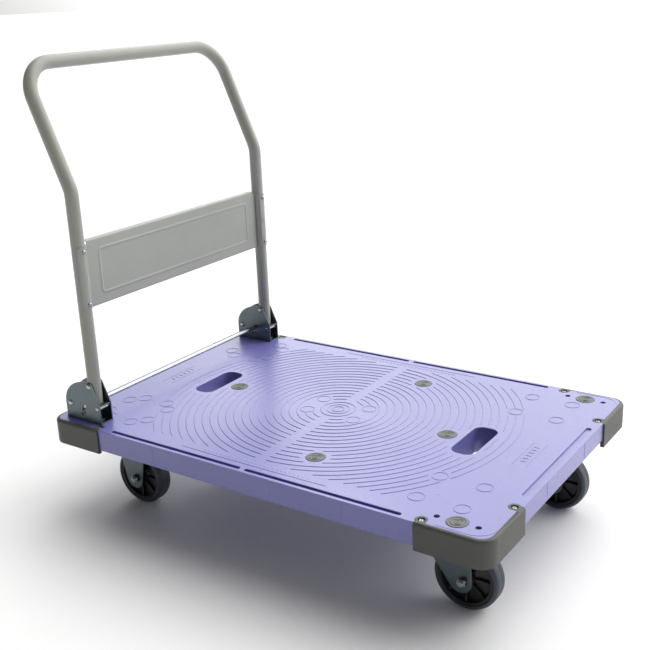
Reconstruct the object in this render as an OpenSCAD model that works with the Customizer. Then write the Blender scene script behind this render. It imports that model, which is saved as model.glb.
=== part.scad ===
// Folding platform cart: a moulded resin deck on two fixed and two swivel
// casters, with a tubular push handle that folds down over the deck.
// +X runs from the handle end to the front end, +Y is the left side as seen
// by someone pushing, +Z is up and the floor is z = 0.

/* [Deck] */
// Overall length over the corner bumpers
deck_length = 928; // [860:1:1120]
// Overall width over the corner bumpers
deck_width = 610; // [540:1:740]
// Depth of the deck from its load surface down to the caster plates
deck_depth = 44; // [40:1:56]
// Thickness of the moulded top plate
top_plate = 6; // [5:0.5:8]
// Thickness of the outer skirt
skirt_wall = 4; // [3:0.5:6]
// How far the long side skirts hang below the load surface
side_skirt = 41; // [38:1:44]
// How far the end skirts hang below the load surface
end_skirt = 34; // [30:1:40]
// Thickness of the stiffening ribs
rib_wall = 3; // [2:0.5:5]
// Largest spacing of the stiffening ribs
rib_pitch = 78; // [50:1:85]
// Length of each hand hole, across the deck
hand_hole_length = 119; // [90:1:140]
// Width of each hand hole
hand_hole_width = 46; // [35:1:55]
// Distance of each hand hole from the end of the deck
hand_hole_inset = 172; // [160:1:200]
// How far the sleeves of the hand holes hang below the load surface
hand_hole_depth = 48; // [42:1:52]
// Diameter of the accessory holes by the front corners
accessory_hole_d = 10; // [6:0.5:12]
// Diameter of the grip pads
pad_d = 35; // [25:1:45]

/* [Bumpers] */
// Length of each bumper leg along the deck edge
bumper_leg = 127; // [90:1:160]
// Height of the bumpers
bumper_height = 48; // [44:1:60]
// Wall thickness of the bumpers
bumper_wall = 7; // [6:0.5:10]
// Plan radius of the outer corner
bumper_radius = 28; // [20:1:60]
// Radius of the rounded top edge
bumper_edge = 5.5; // [2:0.5:5.5]

/* [Casters] */
// Wheel diameter
wheel_d = 115; // [96:1:140]
// Tyre width
wheel_width = 33; // [28:1:44]
// Radial thickness of the tyre
tyre_thickness = 9; // [6:0.5:14]
// Axle bolt diameter
axle_d = 10; // [8:1:12]
// Thickness of the fork legs
fork_wall = 3; // [2.5:0.5:5]
// Gap between the tyre and each fork leg
wheel_side_gap = 4; // [2.5:0.5:8]
// Distance between left and right wheel planes
caster_track = 382; // [340:1:400]
// Distance of the fixed casters from the rear end of the deck
fixed_caster_inset = 124; // [110:1:150]
// Distance of the swivel axes from the front end of the deck
swivel_caster_inset = 121; // [110:1:150]
// Trail of the swivel wheels behind their swivel axis
swivel_trail = 33; // [20:1:40]
// Bolt spacing of the square swivel caster plates
swivel_bolts = 80; // [76:1:90]
// Bolt spacing of the fixed caster plates along the deck
fixed_bolts_x = 102; // [96:1:115]
// Bolt spacing of the fixed caster plates across the deck
fixed_bolts_y = 56; // [56:1:80]

/* [Handle] */
// Outer diameter of the handle tube
tube_d = 25.4; // [22:0.1:31]
// Wall thickness of the handle tube
tube_wall = 1.6; // [1.2:0.1:2.5]
// Distance between the axes of the two legs
handle_width = 532; // [440:1:560]
// Distance of the legs from the rear end of the deck
handle_inset = 93; // [80:1:115]
// Height of the bend above the deck
bend_height = 443; // [400:1:560]
// Angle by which the grip leans back
handle_lean = 23.5; // [10:0.5:35]
// Length of the leaning part, bend to grip axis
lean_length = 238; // [180:1:300]
// Bend radius at the lean
lean_radius = 55; // [45:1:150]
// Corner radius of the grip
grip_radius = 66; // [50:1:120]
// Largest fold angle, when the bend rests on the deck
fold_angle = 99; // [90:0.5:99]

/* [Handle panel] */
// Height of the lower edge of the panel above the deck
panel_bottom = 222; // [200:1:260]
// Height of the panel
panel_height = 127; // [100:1:150]
// Sheet thickness of the panel
panel_wall = 1.4; // [1:0.1:2]
// Depth of the folded lips
panel_lip = 12; // [6:1:16]

/* [Hinge brackets] */
// Height of the handle pivot above the deck
pivot_height = 74; // [70:1:90]
// Plate thickness of the brackets
bracket_wall = 2.3; // [1.6:0.1:3]
// Diameter of the pivot pins
pivot_d = 8; // [6:0.5:10]
// Diameter of the latch rod
rod_d = 8; // [6:0.5:9]
// Travel of the latch rod along its slots
latch_travel = 13; // [12:0.5:14]

/* [Hidden] */
$fn = 64;

LEFT = 1;
RIGHT = -1;
REAR = -1;
FRONT = 1;

// Clearances: a part laid in its seat, a shaft that turns in its bore, a
// plate beside a turning part, and a bolt in its hole
seat_gap = 0.3;
running_gap = 0.05;
side_gap = 0.4;
bolt_gap = 0.3;
// How far cuts run past the faces that they open
cut = 1;

// Colours
lavender = [0.74, 0.75, 0.87];
dark_grey = [0.30, 0.31, 0.30];
paint_grey = [0.60, 0.62, 0.59];
zinc = [0.52, 0.57, 0.60];
bright_steel = [0.75, 0.77, 0.80];
hub_black = [0.10, 0.10, 0.11];
tyre_slate = [0.24, 0.28, 0.32];
brass = [0.78, 0.65, 0.35];

// Caster stack, from the floor up to the face bolted to the deck
crown_gap = 16.7;
ball_d = 6;
race_depth = 6.7;
plate_wall = 4;
axle_height = wheel_d / 2;
crown_bottom = wheel_d + crown_gap;
crown_top = crown_bottom + fork_wall;
race_bottom = crown_top + ball_d + 2 * seat_gap;
plate_bottom = race_bottom + race_depth;
plate_top = plate_bottom + plate_wall;
deck_top = plate_top + deck_depth;

// Frame: the origin lies under the centre of the whole cart's outline, so
// the deck moves forward by half of what the grip overhangs it
pivot_x = handle_inset - deck_length / 2;
grip_x = pivot_x - lean_length * sin(handle_lean);
rear_end = min(-deck_length / 2, grip_x - tube_d / 2);
frame_x = -(rear_end + deck_length / 2) / 2;

// Deck features
skirt_recess = 3;
edge_core = bumper_wall + seat_gap;
rib_lift = 3;
rib_bottom = deck_top - side_skirt + rib_lift;
boss_r = 14;
screw_boss_r = 7;
pad_depth = 4;
pad_proud = 0.8;
pad_ring = 0.8;
pad_rings = [0.44, 0.76];
pad_side_x = 84;
pad_side_y = 193;
pad_end_x = 226;
groove_inset = 13.5;
groove_width = 8.5;
groove_depth = 4;
groove_break = 10;
groove_end_inset = 154;
front_groove_inset = 17;
front_groove_width = 10;
front_groove_depth = 2.5;
accessory_inset = 35.5;
accessory_spacing = 69.5;
accessory_side = 36;
hand_hole_radius = 18;
hand_hole_wall = 4;

// Bumper lobes and their screws
lobe_r = 10;
lobe_thickness = 5;
lobe_from_end = 120.3;
lobe_from_side = 15.5;
lobe_recess_r = 6;
lobe_recess = 3;
bumper_screw_d = 4;
bumper_screw_head_d = 9;
bumper_screw_head = 2.4;
bumper_screw_length = 22;

// Caster fasteners
caster_bolt_d = 8;
caster_bolt_head_d = 15;
caster_bolt_head = 5.5;
caster_bolt_length = 26;
insert_d = 14;
insert_length = 20;
plate_margin = 10;
kingpin_d = 12;
kingpin_head_d = 20;
kingpin_head = 3;
kingpin_nut = 7;
ball_circle_r = 22;
ball_count = 16;
crown_r = 29.5;
skirt_r = 32;
skirt_sheet = 2;
race_r = 30.5;
fork_end_r = 20.5;
fork_end_back = 5;
fork_end_drop = 2.5;
fork_front = 47;
fork_rear = 42;
fork_shoulder = 17;
fixed_leg_front = 30;
fixed_leg_rear = 46;
hub_boss_r = 15;
hub_rim = 5;
hub_web = 9;
hub_ribs = 8;
hub_rib_wall = 3;
hub_rib_inset = 3;
hub_inset = 1.5;
tyre_round = 8;
sleeve_d = 16;
boss_length_gap = 0.4;
sleeve_length_gap = 0.1;
axle_head = 6.5;
axle_nut = 9;
axle_end = 2;
nut_collar = 2;
nut_collar_ratio = 1.5;
hex_ratio = 1.75;
leg_inner = wheel_width / 2 + wheel_side_gap;
leg_outer = leg_inner + fork_wall;
hub_r = wheel_d / 2 - tyre_thickness;
hub_width = wheel_width - 2 * hub_inset;
hub_boss_length = 2 * (leg_inner - boss_length_gap);
sleeve_length = 2 * (leg_inner - sleeve_length_gap);

// Hinge bracket, measured from the pivot axis and the load surface
bracket_rear = 68.5;
bracket_front = 23.5;
arc_center_x = -10;
arc_center_z = 33;
arc_rise = 47.5;
apex_r = 4;
apex_x = 2;
front_edge_height = 38;
pin_below = 43;
strip_height = 35.5;
strip_depth = 10.5;
bolt_rear_x = -50;
bolt_front_x = 10;
bracket_bolt_d = 8;
bracket_bolt_head = 5;
bracket_bolt_length = 24;
bracket_nut = 6.5;
bracket_nut_well_d = 18;
stop_d = 7;
stop_head_d = 8;
stop_head = 1;
spacer_x = -56;
spacer_height = 31;
rivet_head_d = 12;
rivet_head = 2.5;
spring_wire = 1.8;
spring_bend_r = 3;
spring_bends = 3;

leg_y = handle_width / 2;
channel = tube_d + 2 * side_gap;
bracket_y = channel / 2 + bracket_wall;
pivot_z = deck_top + pivot_height;
stop_x = tube_d / 2 + seat_gap + stop_d / 2;

// The latch rod rests behind the tube, and its slot points straight away
// from the pivot
rod_x = -(tube_d + rod_d) / 2 - seat_gap;
rod_z = -pin_below;
rod_reach = norm([rod_x, rod_z]);
slot_tilt = atan2(-rod_x, -rod_z);
slot_width = rod_d + 2 * seat_gap;
spring_top = rod_d / 2 + seat_gap;
spring_length = spring_bends * 2 * spring_bend_r + spring_wire;
slot_length = spring_top + spring_length + seat_gap - slot_width / 2;

// Handle tube
lean_step = 0.1;

// The foot of the tube is cut so that it just clears the rod as both move:
// the rod gains latch_travel over the whole fold
foot_gap = 0.4;
foot_overrun = 1.5;
function foot_reach(turn) = rod_reach - rod_d / 2 - foot_gap + latch_travel * turn / fold_angle;
foot_rear = sqrt(pow(foot_reach(0), 2) - pow(tube_d / 2, 2)) - foot_gap;
foot_turn = slot_tilt + asin(tube_d / 2 / foot_reach(slot_tilt));
foot_front = sqrt(pow(foot_reach(foot_turn), 2) - pow(tube_d / 2, 2)) - foot_gap;

// Handle panel
panel_plane = 1;
saddle_gap = 0.1;
saddle_drop = 7;
saddle_rise = 3;
saddle_wrap = 55;
saddle_inner = 90;
notch = 7;
ridge = 3;
ridge_height = 1;
ridge_end = 47;
ridge_margin = 21;
screw_inset = 9;
panel_screw_d = 4;
panel_screw_head_d = 8;
panel_screw_head = 2.2;
panel_z = deck_top + panel_bottom;
saddle_z = panel_z + saddle_rise;
saddle_height = panel_height - saddle_drop - saddle_rise;
saddle_r = tube_d / 2 + saddle_gap;

function arc_points(cx, cy, rx, ry, a0, a1, n) =
    [for (i = [0:n]) let(a = a0 + (a1 - a0) * i / n) [cx + rx * cos(a), cy + ry * sin(a)]];

// Shared shapes

module in_frame() translate([frame_x, 0, 0]) children();

module rounded_plate(x, y, r) {
    square([x - 2 * r, y], center = true);
    square([x, y - 2 * r], center = true);
    for (sx = [-1, 1], sy = [-1, 1])
        translate([sx * (x / 2 - r), sy * (y / 2 - r)]) circle(r);
}

module stadium(x, y) {
    square([x - y, y], center = true);
    for (s = [-1, 1]) translate([s * (x - y) / 2, 0]) circle(d = y);
}

module at_corners(x, y) {
    for (sx = [-1, 1], sy = [-1, 1]) translate([sx * x / 2, sy * y / 2, 0]) children();
}

// Turns a shape made along +Z so that it runs along +Y
module along_y() rotate([-90, 0, 0]) children();

module hex(d, h) cylinder(d = d, h = h, $fn = 6);

module ring(outer_d, inner_d, h) {
    difference() {
        cylinder(d = outer_d, h = h);
        translate([0, 0, -cut]) cylinder(d = inner_d, h = h + 2 * cut);
    }
}

module tube_section(step) {
    difference() {
        circle(d = tube_d - 2 * step);
        circle(d = tube_d - 2 * step - 2 * tube_wall);
    }
}

// Deck

module deck_outline() {
    rounded_plate(deck_length - 2 * edge_core, deck_width - 2 * edge_core,
                  bumper_radius - edge_core);
    square([deck_length - 2 * (bumper_leg + seat_gap), deck_width - 2 * skirt_recess],
           center = true);
    square([deck_length - 2 * skirt_recess, deck_width - 2 * (bumper_leg + seat_gap)],
           center = true);
}

module deck_cavity_outline() {
    inner = edge_core + skirt_wall;
    rounded_plate(deck_length - 2 * inner, deck_width - 2 * inner, bumper_radius - inner);
}

module at_hand_holes() {
    for (end = [REAR, FRONT])
        translate([end * (deck_length / 2 - hand_hole_inset), 0, 0]) children();
}

// Visits the two lobes of each bumper, with the wall of the bumper along +Y
module at_bumper_screws() {
    for (end = [0, 1], side = [0, 1])
        mirror([end, 0, 0]) mirror([0, side, 0]) translate([deck_length / 2, deck_width / 2, 0]) {
            translate([-lobe_from_end, -lobe_from_side, 0]) children();
            translate([-lobe_from_side, -lobe_from_end, 0]) mirror([1, -1, 0]) children();
        }
}

module lobe_outline(reach, gap) {
    circle(lobe_r + gap);
    translate([lobe_from_end - bumper_leg - gap, 0])
        square([bumper_leg - lobe_from_end + lobe_r + 2 * gap, reach]);
}

module at_accessory_holes() {
    for (side = [LEFT, RIGHT], i = [0, 1])
        translate([deck_length / 2 - accessory_inset - i * accessory_spacing,
                   side * (deck_width / 2 - accessory_side), 0]) children();
}

module at_pads() {
    for (end = [REAR, FRONT]) translate([end * (deck_length / 2 - pad_end_x), 0, 0]) children();
    for (side = [LEFT, RIGHT]) {
        translate([pad_side_x, side * pad_side_y, 0]) children();
        translate([deck_length / 2 - accessory_inset - accessory_spacing / 2,
                   side * (deck_width / 2 - accessory_side), 0]) children();
    }
}

module at_caster_bolts() {
    for (side = [LEFT, RIGHT]) {
        translate([fixed_caster_inset - deck_length / 2, side * caster_track / 2, 0])
            at_corners(fixed_bolts_x, fixed_bolts_y) children();
        translate([deck_length / 2 - swivel_caster_inset, side * caster_track / 2, 0])
            at_corners(swivel_bolts, swivel_bolts) children();
    }
}

module at_bracket_bolts() {
    for (side = [LEFT, RIGHT], x = [bolt_rear_x, bolt_front_x])
        translate([pivot_x + x, side * leg_y, 0]) children();
}

module ribs() {
    cells_x = ceil(deck_length / rib_pitch);
    cells_y = ceil(deck_width / rib_pitch);
    translate([0, 0, rib_bottom]) linear_extrude(deck_top - rib_bottom - cut) {
        intersection() {
            deck_cavity_outline();
            union() {
                for (i = [1:cells_x - 1])
                    translate([deck_length * (i / cells_x - 0.5), 0])
                        square([rib_wall, deck_width], center = true);
                for (i = [1:cells_y - 1])
                    translate([0, deck_width * (i / cells_y - 0.5)])
                        square([deck_length, rib_wall], center = true);
            }
        }
    }
}

module deck_body() {
    skirt_bottom = deck_top - side_skirt;
    under_plate = deck_top - top_plate;
    difference() {
        translate([0, 0, skirt_bottom]) linear_extrude(side_skirt) deck_outline();
        translate([0, 0, skirt_bottom - cut]) linear_extrude(side_skirt - top_plate + cut)
            deck_cavity_outline();
        for (end = [REAR, FRONT])
            translate([end * deck_length / 2, 0, skirt_bottom])
                cube([4 * bumper_wall, deck_width - 2 * bumper_leg, 2 * (side_skirt - end_skirt)],
                     center = true);
    }
    ribs();
    at_caster_bolts() translate([0, 0, plate_top]) cylinder(r = boss_r, h = under_plate - plate_top + cut);
    at_bumper_screws() translate([0, 0, under_plate - bumper_screw_length])
        cylinder(r = screw_boss_r, h = bumper_screw_length + cut);
    at_pads() translate([0, 0, under_plate - pad_depth])
        cylinder(d = pad_d + 2 * skirt_wall, h = pad_depth + cut);
    at_hand_holes() translate([0, 0, deck_top - hand_hole_depth]) linear_extrude(hand_hole_depth - cut)
        rounded_plate(hand_hole_width + 2 * hand_hole_wall, hand_hole_length + 2 * hand_hole_wall,
                      hand_hole_radius + hand_hole_wall);
}

module deck_cuts() {
    at_hand_holes() translate([0, 0, deck_top - hand_hole_depth - cut])
        linear_extrude(hand_hole_depth + 2 * cut)
        rounded_plate(hand_hole_width, hand_hole_length, hand_hole_radius);
    half = deck_length / 2 - groove_end_inset;
    groove = half - groove_break / 2;
    for (side = [LEFT, RIGHT], end = [REAR, FRONT])
        translate([end * (half + groove_break / 2) / 2, side * (deck_width / 2 - groove_inset),
                   deck_top - groove_depth])
            linear_extrude(groove_depth + cut) stadium(groove, groove_width);
    translate([deck_length / 2 - front_groove_inset, 0, deck_top - front_groove_depth])
        linear_extrude(front_groove_depth + cut)
            rotate(90) stadium(deck_width - 2 * (groove_end_inset + front_groove_width / 2),
                               front_groove_width);
    at_accessory_holes() translate([0, 0, plate_bottom])
        cylinder(d = accessory_hole_d, h = deck_depth + 2 * plate_wall);
    at_pads() translate([0, 0, deck_top - pad_depth])
        cylinder(d = pad_d + 2 * seat_gap, h = pad_depth + cut);
    at_bumper_screws() {
        translate([0, 0, deck_top - lobe_thickness - seat_gap])
            linear_extrude(lobe_thickness + seat_gap + cut) lobe_outline(lobe_from_side, seat_gap);
        translate([0, 0, deck_top - bumper_screw_length - lobe_recess])
            cylinder(d = bumper_screw_d + 2 * bolt_gap, h = bumper_screw_length + lobe_recess);
    }
    at_caster_bolts() {
        translate([0, 0, plate_top - cut])
            cylinder(d = insert_d + 2 * running_gap, h = insert_length + seat_gap + cut);
        translate([0, 0, plate_top - cut])
            cylinder(d = caster_bolt_d + 2 * bolt_gap, h = caster_bolt_length + cut);
    }
    at_bracket_bolts() {
        translate([0, 0, plate_top])
            cylinder(d = bracket_nut_well_d, h = deck_depth - top_plate);
        translate([0, 0, plate_top])
            cylinder(d = bracket_bolt_d + 2 * bolt_gap, h = deck_depth + cut);
    }
}

module deck() in_frame() color(lavender) difference() {
    deck_body();
    deck_cuts();
}

// One corner bumper: a wall with a rounded top edge that runs round the
// corner of the deck, and a screw lobe at each end

module bumper_profile() {
    translate([-bumper_wall, 0]) {
        square([bumper_wall, bumper_height - bumper_edge]);
        square([bumper_wall - bumper_edge, bumper_height]);
    }
    translate([-bumper_edge, bumper_height - bumper_edge]) intersection() {
        circle(bumper_edge);
        square(bumper_edge);
    }
}

module bumper(end, side) {
    straight = bumper_leg - bumper_radius;
    in_frame() color(dark_grey)
    mirror([end == REAR ? 1 : 0, 0, 0]) mirror([0, side == RIGHT ? 1 : 0, 0])
    translate([deck_length / 2, deck_width / 2, deck_top]) {
        translate([-bumper_radius, -bumper_radius, -bumper_height])
            rotate_extrude(angle = 90) translate([bumper_radius, 0]) bumper_profile();
        translate([-bumper_leg, 0, -bumper_height]) rotate([90, 0, 90])
            linear_extrude(straight) bumper_profile();
        translate([0, -bumper_radius, -bumper_height]) rotate([90, 0, 0])
            linear_extrude(straight) bumper_profile();
        translate([-lobe_from_end, -lobe_from_side, 0]) bumper_lobe();
        translate([-lobe_from_side, -lobe_from_end, 0]) mirror([1, -1, 0]) bumper_lobe();
    }
}

module bumper_lobe() translate([0, 0, -lobe_thickness]) difference() {
    linear_extrude(lobe_thickness) lobe_outline(lobe_from_side - bumper_wall / 2, 0);
    translate([0, 0, lobe_thickness - lobe_recess]) cylinder(r = lobe_recess_r, h = lobe_recess + cut);
    translate([0, 0, -cut]) cylinder(d = bumper_screw_d + 2 * bolt_gap, h = lobe_thickness);
}

module bumper_screws() in_frame() color(bright_steel) at_bumper_screws() {
    translate([0, 0, deck_top - lobe_recess]) cylinder(d = bumper_screw_head_d, h = bumper_screw_head);
    translate([0, 0, deck_top - bumper_screw_length])
        cylinder(d = bumper_screw_d, h = bumper_screw_length - lobe_recess);
}

module grip_pads() in_frame() color(dark_grey) at_pads()
    translate([0, 0, deck_top - pad_depth]) difference() {
        cylinder(d = pad_d, h = pad_depth + pad_proud);
        for (share = pad_rings)
            translate([0, 0, pad_depth]) ring(pad_d * share + 2 * pad_ring, pad_d * share, pad_proud + cut);
    }

// Handle

module leg_foot_cut() {
    translate([0, 0, -2 * pin_below]) rotate([90, 0, 0])
        linear_extrude(2 * tube_d, center = true)
            polygon([[-tube_d, 0], [-tube_d, foot_edge(-tube_d)], [tube_d, foot_edge(tube_d)],
                     [tube_d, 0]]);
}

// Height of the sloping foot above the cutter's own base, at a place x
function foot_edge(x) =
    2 * pin_below - (foot_rear + foot_front) / 2 - x * (foot_front - foot_rear) / tube_d;

// Half of the tube: the leg, the bend, the leaning stretch, a corner and half
// of the grip. The leaning stretch is a hair slimmer than the bend, and it
// starts just inside it.
module handle_half() {
    lean_tangent = lean_radius * tan(handle_lean / 2);
    bend_z = deck_top + bend_height - lean_tangent;
    foot_z = pivot_z - foot_overrun * pin_below;
    corner_z = lean_length - lean_tangent - grip_radius;
    translate([0, leg_y, foot_z]) linear_extrude(bend_z - foot_z) tube_section(0);
    translate([-lean_radius, leg_y, bend_z]) rotate([90, 0, 0])
        rotate_extrude(angle = handle_lean) translate([lean_radius, 0]) tube_section(0);
    translate([-lean_radius, 0, bend_z]) rotate([0, -handle_lean, 0]) translate([lean_radius, 0, 0]) {
        translate([0, leg_y, -cut]) linear_extrude(corner_z + cut) tube_section(lean_step);
        translate([0, leg_y - grip_radius, corner_z]) rotate([90, 0, 90])
            rotate_extrude(angle = 90) translate([grip_radius, 0]) tube_section(lean_step);
        translate([0, 0, corner_z + grip_radius]) rotate([-90, 0, 0])
            linear_extrude(leg_y - grip_radius) tube_section(lean_step);
    }
}

module handle_tube() in_frame() color(paint_grey) translate([pivot_x, 0, 0]) difference() {
    union() {
        handle_half();
        mirror([0, 1, 0]) handle_half();
    }
    for (side = [LEFT, RIGHT]) translate([0, side * leg_y, 0]) {
        translate([0, 0, pivot_z]) leg_foot_cut();
        translate([0, -tube_d, pivot_z]) along_y()
            cylinder(d = pivot_d + 2 * running_gap, h = 2 * tube_d);
        for (z = [saddle_z + screw_inset, saddle_z + saddle_height - screw_inset])
            translate([0, 0, z]) rotate([0, 90, 0])
                cylinder(d = panel_screw_d + 2 * bolt_gap, h = tube_d);
    }
}

module panel_saddle() {
    difference() {
        rotate(-saddle_inner) rotate_extrude(angle = saddle_inner + saddle_wrap)
            translate([saddle_r, saddle_z]) square([panel_wall, saddle_height]);
        for (z = [saddle_z + screw_inset, saddle_z + saddle_height - screw_inset])
            translate([0, 0, z]) rotate([0, 90, 0])
                cylinder(d = panel_screw_d + 2 * bolt_gap, h = tube_d);
    }
}

module handle_panel() in_frame() color(paint_grey) translate([pivot_x, 0, 0]) {
    back = panel_plane - panel_wall / 2;
    flat = handle_width - 2 * (saddle_r + panel_wall / 2);
    lip_width = handle_width - tube_d - 2 * notch;
    for (side = [LEFT, RIGHT])
        mirror([0, side == RIGHT ? 1 : 0, 0]) translate([0, leg_y, 0]) panel_saddle();
    translate([back, -flat / 2, saddle_z]) cube([panel_wall, flat, saddle_height]);
    translate([back, -lip_width / 2, panel_z]) cube([panel_wall, lip_width, panel_height]);
    for (z = [panel_z, panel_z + panel_height - panel_wall])
        translate([back + panel_wall - panel_lip, -lip_width / 2, z])
            cube([panel_lip, lip_width, panel_wall]);
    translate([back, 0, panel_z + panel_height / 2]) rotate([90, 0, 90])
        linear_extrude(panel_wall + ridge_height) difference() {
            rounded_plate(handle_width - 2 * ridge_end, panel_height - 2 * ridge_margin, 2 * ridge);
            rounded_plate(handle_width - 2 * ridge_end - 2 * ridge,
                          panel_height - 2 * ridge_margin - 2 * ridge, ridge);
        }
}

module panel_screws() in_frame() color(bright_steel)
    for (side = [LEFT, RIGHT], z = [saddle_z + screw_inset, saddle_z + saddle_height - screw_inset])
        translate([pivot_x, side * leg_y, z]) rotate([0, 90, 0]) {
            cylinder(d = panel_screw_d, h = saddle_r + panel_wall + seat_gap);
            translate([0, 0, saddle_r + panel_wall + seat_gap])
                cylinder(d = panel_screw_head_d, h = panel_screw_head);
        }

// Hinge brackets: a folded channel with two tall cheeks, a base and a strip
// that ties the cheeks together in front of the leg

module cheek_outline() {
    slope = atan2(bracket_front - apex_x - apex_r, pivot_height - front_edge_height);
    polygon(concat(
        [[bracket_front, 0], [-bracket_rear, 0]],
        arc_points(arc_center_x, arc_center_z, bracket_rear + arc_center_x, arc_rise, 180, 90, 14),
        arc_points(apex_x, arc_center_z + arc_rise - apex_r, apex_r, apex_r, 90, slope, 6),
        [[bracket_front, front_edge_height]]));
}

module slot_cut() {
    rotate([0, slot_tilt, 0]) {
        for (s = [0, slot_length]) translate([0, 0, -s]) along_y()
            cylinder(d = slot_width, h = 2 * channel, center = true);
        translate([0, 0, -slot_length / 2]) cube([slot_width, 2 * channel, slot_length], center = true);
    }
}

module bracket(side) in_frame() color(zinc) translate([pivot_x, side * leg_y, deck_top])
    difference() {
        union() {
            for (y = [-bracket_y, channel / 2]) translate([0, y + bracket_wall, 0]) rotate([90, 0, 0])
                linear_extrude(bracket_wall) cheek_outline();
            translate([-bracket_rear, -bracket_y, 0])
                cube([bracket_rear + bracket_front, 2 * bracket_y, bracket_wall]);
            translate([bracket_front - strip_depth, -bracket_y, strip_height])
                cube([strip_depth, 2 * bracket_y, bracket_wall]);
        }
        translate([0, 0, pivot_height]) along_y()
            cylinder(d = pivot_d + 2 * running_gap, h = 2 * channel, center = true);
        translate([stop_x, 0, pivot_height - pin_below]) along_y()
            cylinder(d = stop_d + 2 * running_gap, h = 2 * channel, center = true);
        translate([spacer_x, 0, spacer_height]) along_y()
            cylinder(d = pivot_d + 2 * running_gap, h = 2 * channel, center = true);
        translate([rod_x, 0, pivot_height + rod_z]) slot_cut();
        for (x = [bolt_rear_x, bolt_front_x]) translate([x, 0, -cut])
            cylinder(d = bracket_bolt_d + 2 * bolt_gap, h = bracket_wall + 2 * cut);
    }

module bracket_bolts() in_frame() color(bright_steel) at_bracket_bolts()
    translate([0, 0, deck_top + bracket_wall]) {
        hex(hex_ratio * bracket_bolt_d, bracket_bolt_head);
        translate([0, 0, -bracket_bolt_length]) cylinder(d = bracket_bolt_d, h = bracket_bolt_length);
    }

module bracket_nuts() in_frame() color(bright_steel) at_bracket_bolts()
    translate([0, 0, deck_top - top_plate - bracket_nut]) difference() {
        hex(hex_ratio * bracket_bolt_d, bracket_nut);
        translate([0, 0, -cut]) cylinder(d = bracket_bolt_d + 2 * running_gap, h = bracket_nut + 2 * cut);
    }

// A rivet through both cheeks of each bracket, with a head on each side
module cheek_rivets(x, z, d, head_d, head) {
    for (side = [LEFT, RIGHT]) translate([pivot_x + x, side * leg_y, z]) along_y() {
        cylinder(d = d, h = 2 * bracket_y, center = true);
        for (end = [0, 1]) mirror([0, 0, end]) translate([0, 0, bracket_y]) cylinder(d = head_d, h = head);
    }
}

module pivot_pins() in_frame() color(bright_steel)
    cheek_rivets(0, pivot_z, pivot_d, rivet_head_d, rivet_head);

module stop_pins() in_frame() color(bright_steel)
    cheek_rivets(stop_x, pivot_z - pin_below, stop_d, stop_head_d, stop_head);

module spacer_rivets() in_frame() color(bright_steel)
    cheek_rivets(spacer_x, deck_top + spacer_height, pivot_d, rivet_head_d, rivet_head);

module latch_rod() in_frame() color(bright_steel)
    translate([pivot_x + rod_x, 0, pivot_z + rod_z]) along_y()
        cylinder(d = rod_d, h = handle_width + 2 * bracket_y, center = true);

// A wire spring in each slot, bent to and fro below the rod
module slot_spring() {
    rotate([0, slot_tilt, 0])
        for (i = [0:spring_bends - 1])
            translate([0, 0, -spring_top - spring_wire / 2 - (2 * i + 1) * spring_bend_r])
                rotate([90, 0, 0]) rotate(i % 2 == 0 ? -90 : 90) rotate_extrude(angle = 180)
                    translate([spring_bend_r, 0]) circle(d = spring_wire, $fn = 24);
}

module latch_springs() in_frame() color(bright_steel)
    for (side = [LEFT, RIGHT], y = [-1, 1])
        translate([pivot_x + rod_x, side * leg_y + y * (bracket_y - bracket_wall / 2), pivot_z + rod_z])
            slot_spring();

// Wheels, all made about an axle along Y at the origin

module tyre() along_y() rotate_extrude() difference() {
    union() {
        for (s = [-1, 1]) translate([wheel_d / 2 - tyre_round, s * (wheel_width / 2 - tyre_round)])
            circle(tyre_round);
        translate([hub_r, -wheel_width / 2]) square([tyre_thickness - tyre_round, wheel_width]);
        translate([hub_r, -wheel_width / 2 + tyre_round])
            square([tyre_thickness, wheel_width - 2 * tyre_round]);
    }
    translate([0, -wheel_width]) square([hub_r, 2 * wheel_width]);
}

module hub() {
    difference() {
        union() {
            along_y() {
                translate([0, 0, -hub_width / 2]) ring(2 * hub_r, 2 * (hub_r - hub_rim), hub_width);
                cylinder(r = hub_r - hub_rim / 2, h = hub_web, center = true);
                cylinder(r = hub_boss_r, h = hub_boss_length, center = true);
            }
            for (i = [0:hub_ribs - 1]) rotate([0, 360 * i / hub_ribs, 0])
                translate([(hub_boss_r + hub_r - hub_rim) / 2, 0, 0])
                    cube([hub_r - hub_rim - hub_boss_r + 2 * cut, hub_width - 2 * hub_rib_inset,
                          hub_rib_wall], center = true);
        }
        along_y() cylinder(d = sleeve_d + 2 * running_gap, h = 2 * wheel_width, center = true);
    }
}

module sleeve() along_y() translate([0, 0, -sleeve_length / 2])
    ring(sleeve_d, axle_d + 2 * running_gap, sleeve_length);

module axle_bolt() along_y() {
    translate([0, 0, -leg_outer - axle_head]) rotate(30) hex(hex_ratio * axle_d, axle_head);
    translate([0, 0, -leg_outer - axle_head / 2])
        cylinder(d = axle_d, h = axle_head / 2 + 2 * leg_outer + axle_nut + axle_end);
}

module axle_lock_nut() along_y() translate([0, 0, leg_outer]) difference() {
    union() {
        rotate(30) hex(hex_ratio * axle_d, axle_nut - nut_collar);
        cylinder(d = nut_collar_ratio * axle_d, h = axle_nut);
    }
    translate([0, 0, -cut]) cylinder(d = axle_d + 2 * running_gap, h = axle_nut + 2 * cut);
}

// Places a wheel part at its axle, with the nut on the outside of the cart
module at_fixed_axle(side) in_frame()
    translate([fixed_caster_inset - deck_length / 2, side * caster_track / 2, axle_height])
        mirror([0, side == RIGHT ? 1 : 0, 0]) children();

module at_swivel_axis(side) in_frame()
    translate([deck_length / 2 - swivel_caster_inset, side * caster_track / 2, 0])
        mirror([0, side == RIGHT ? 1 : 0, 0]) children();

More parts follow.
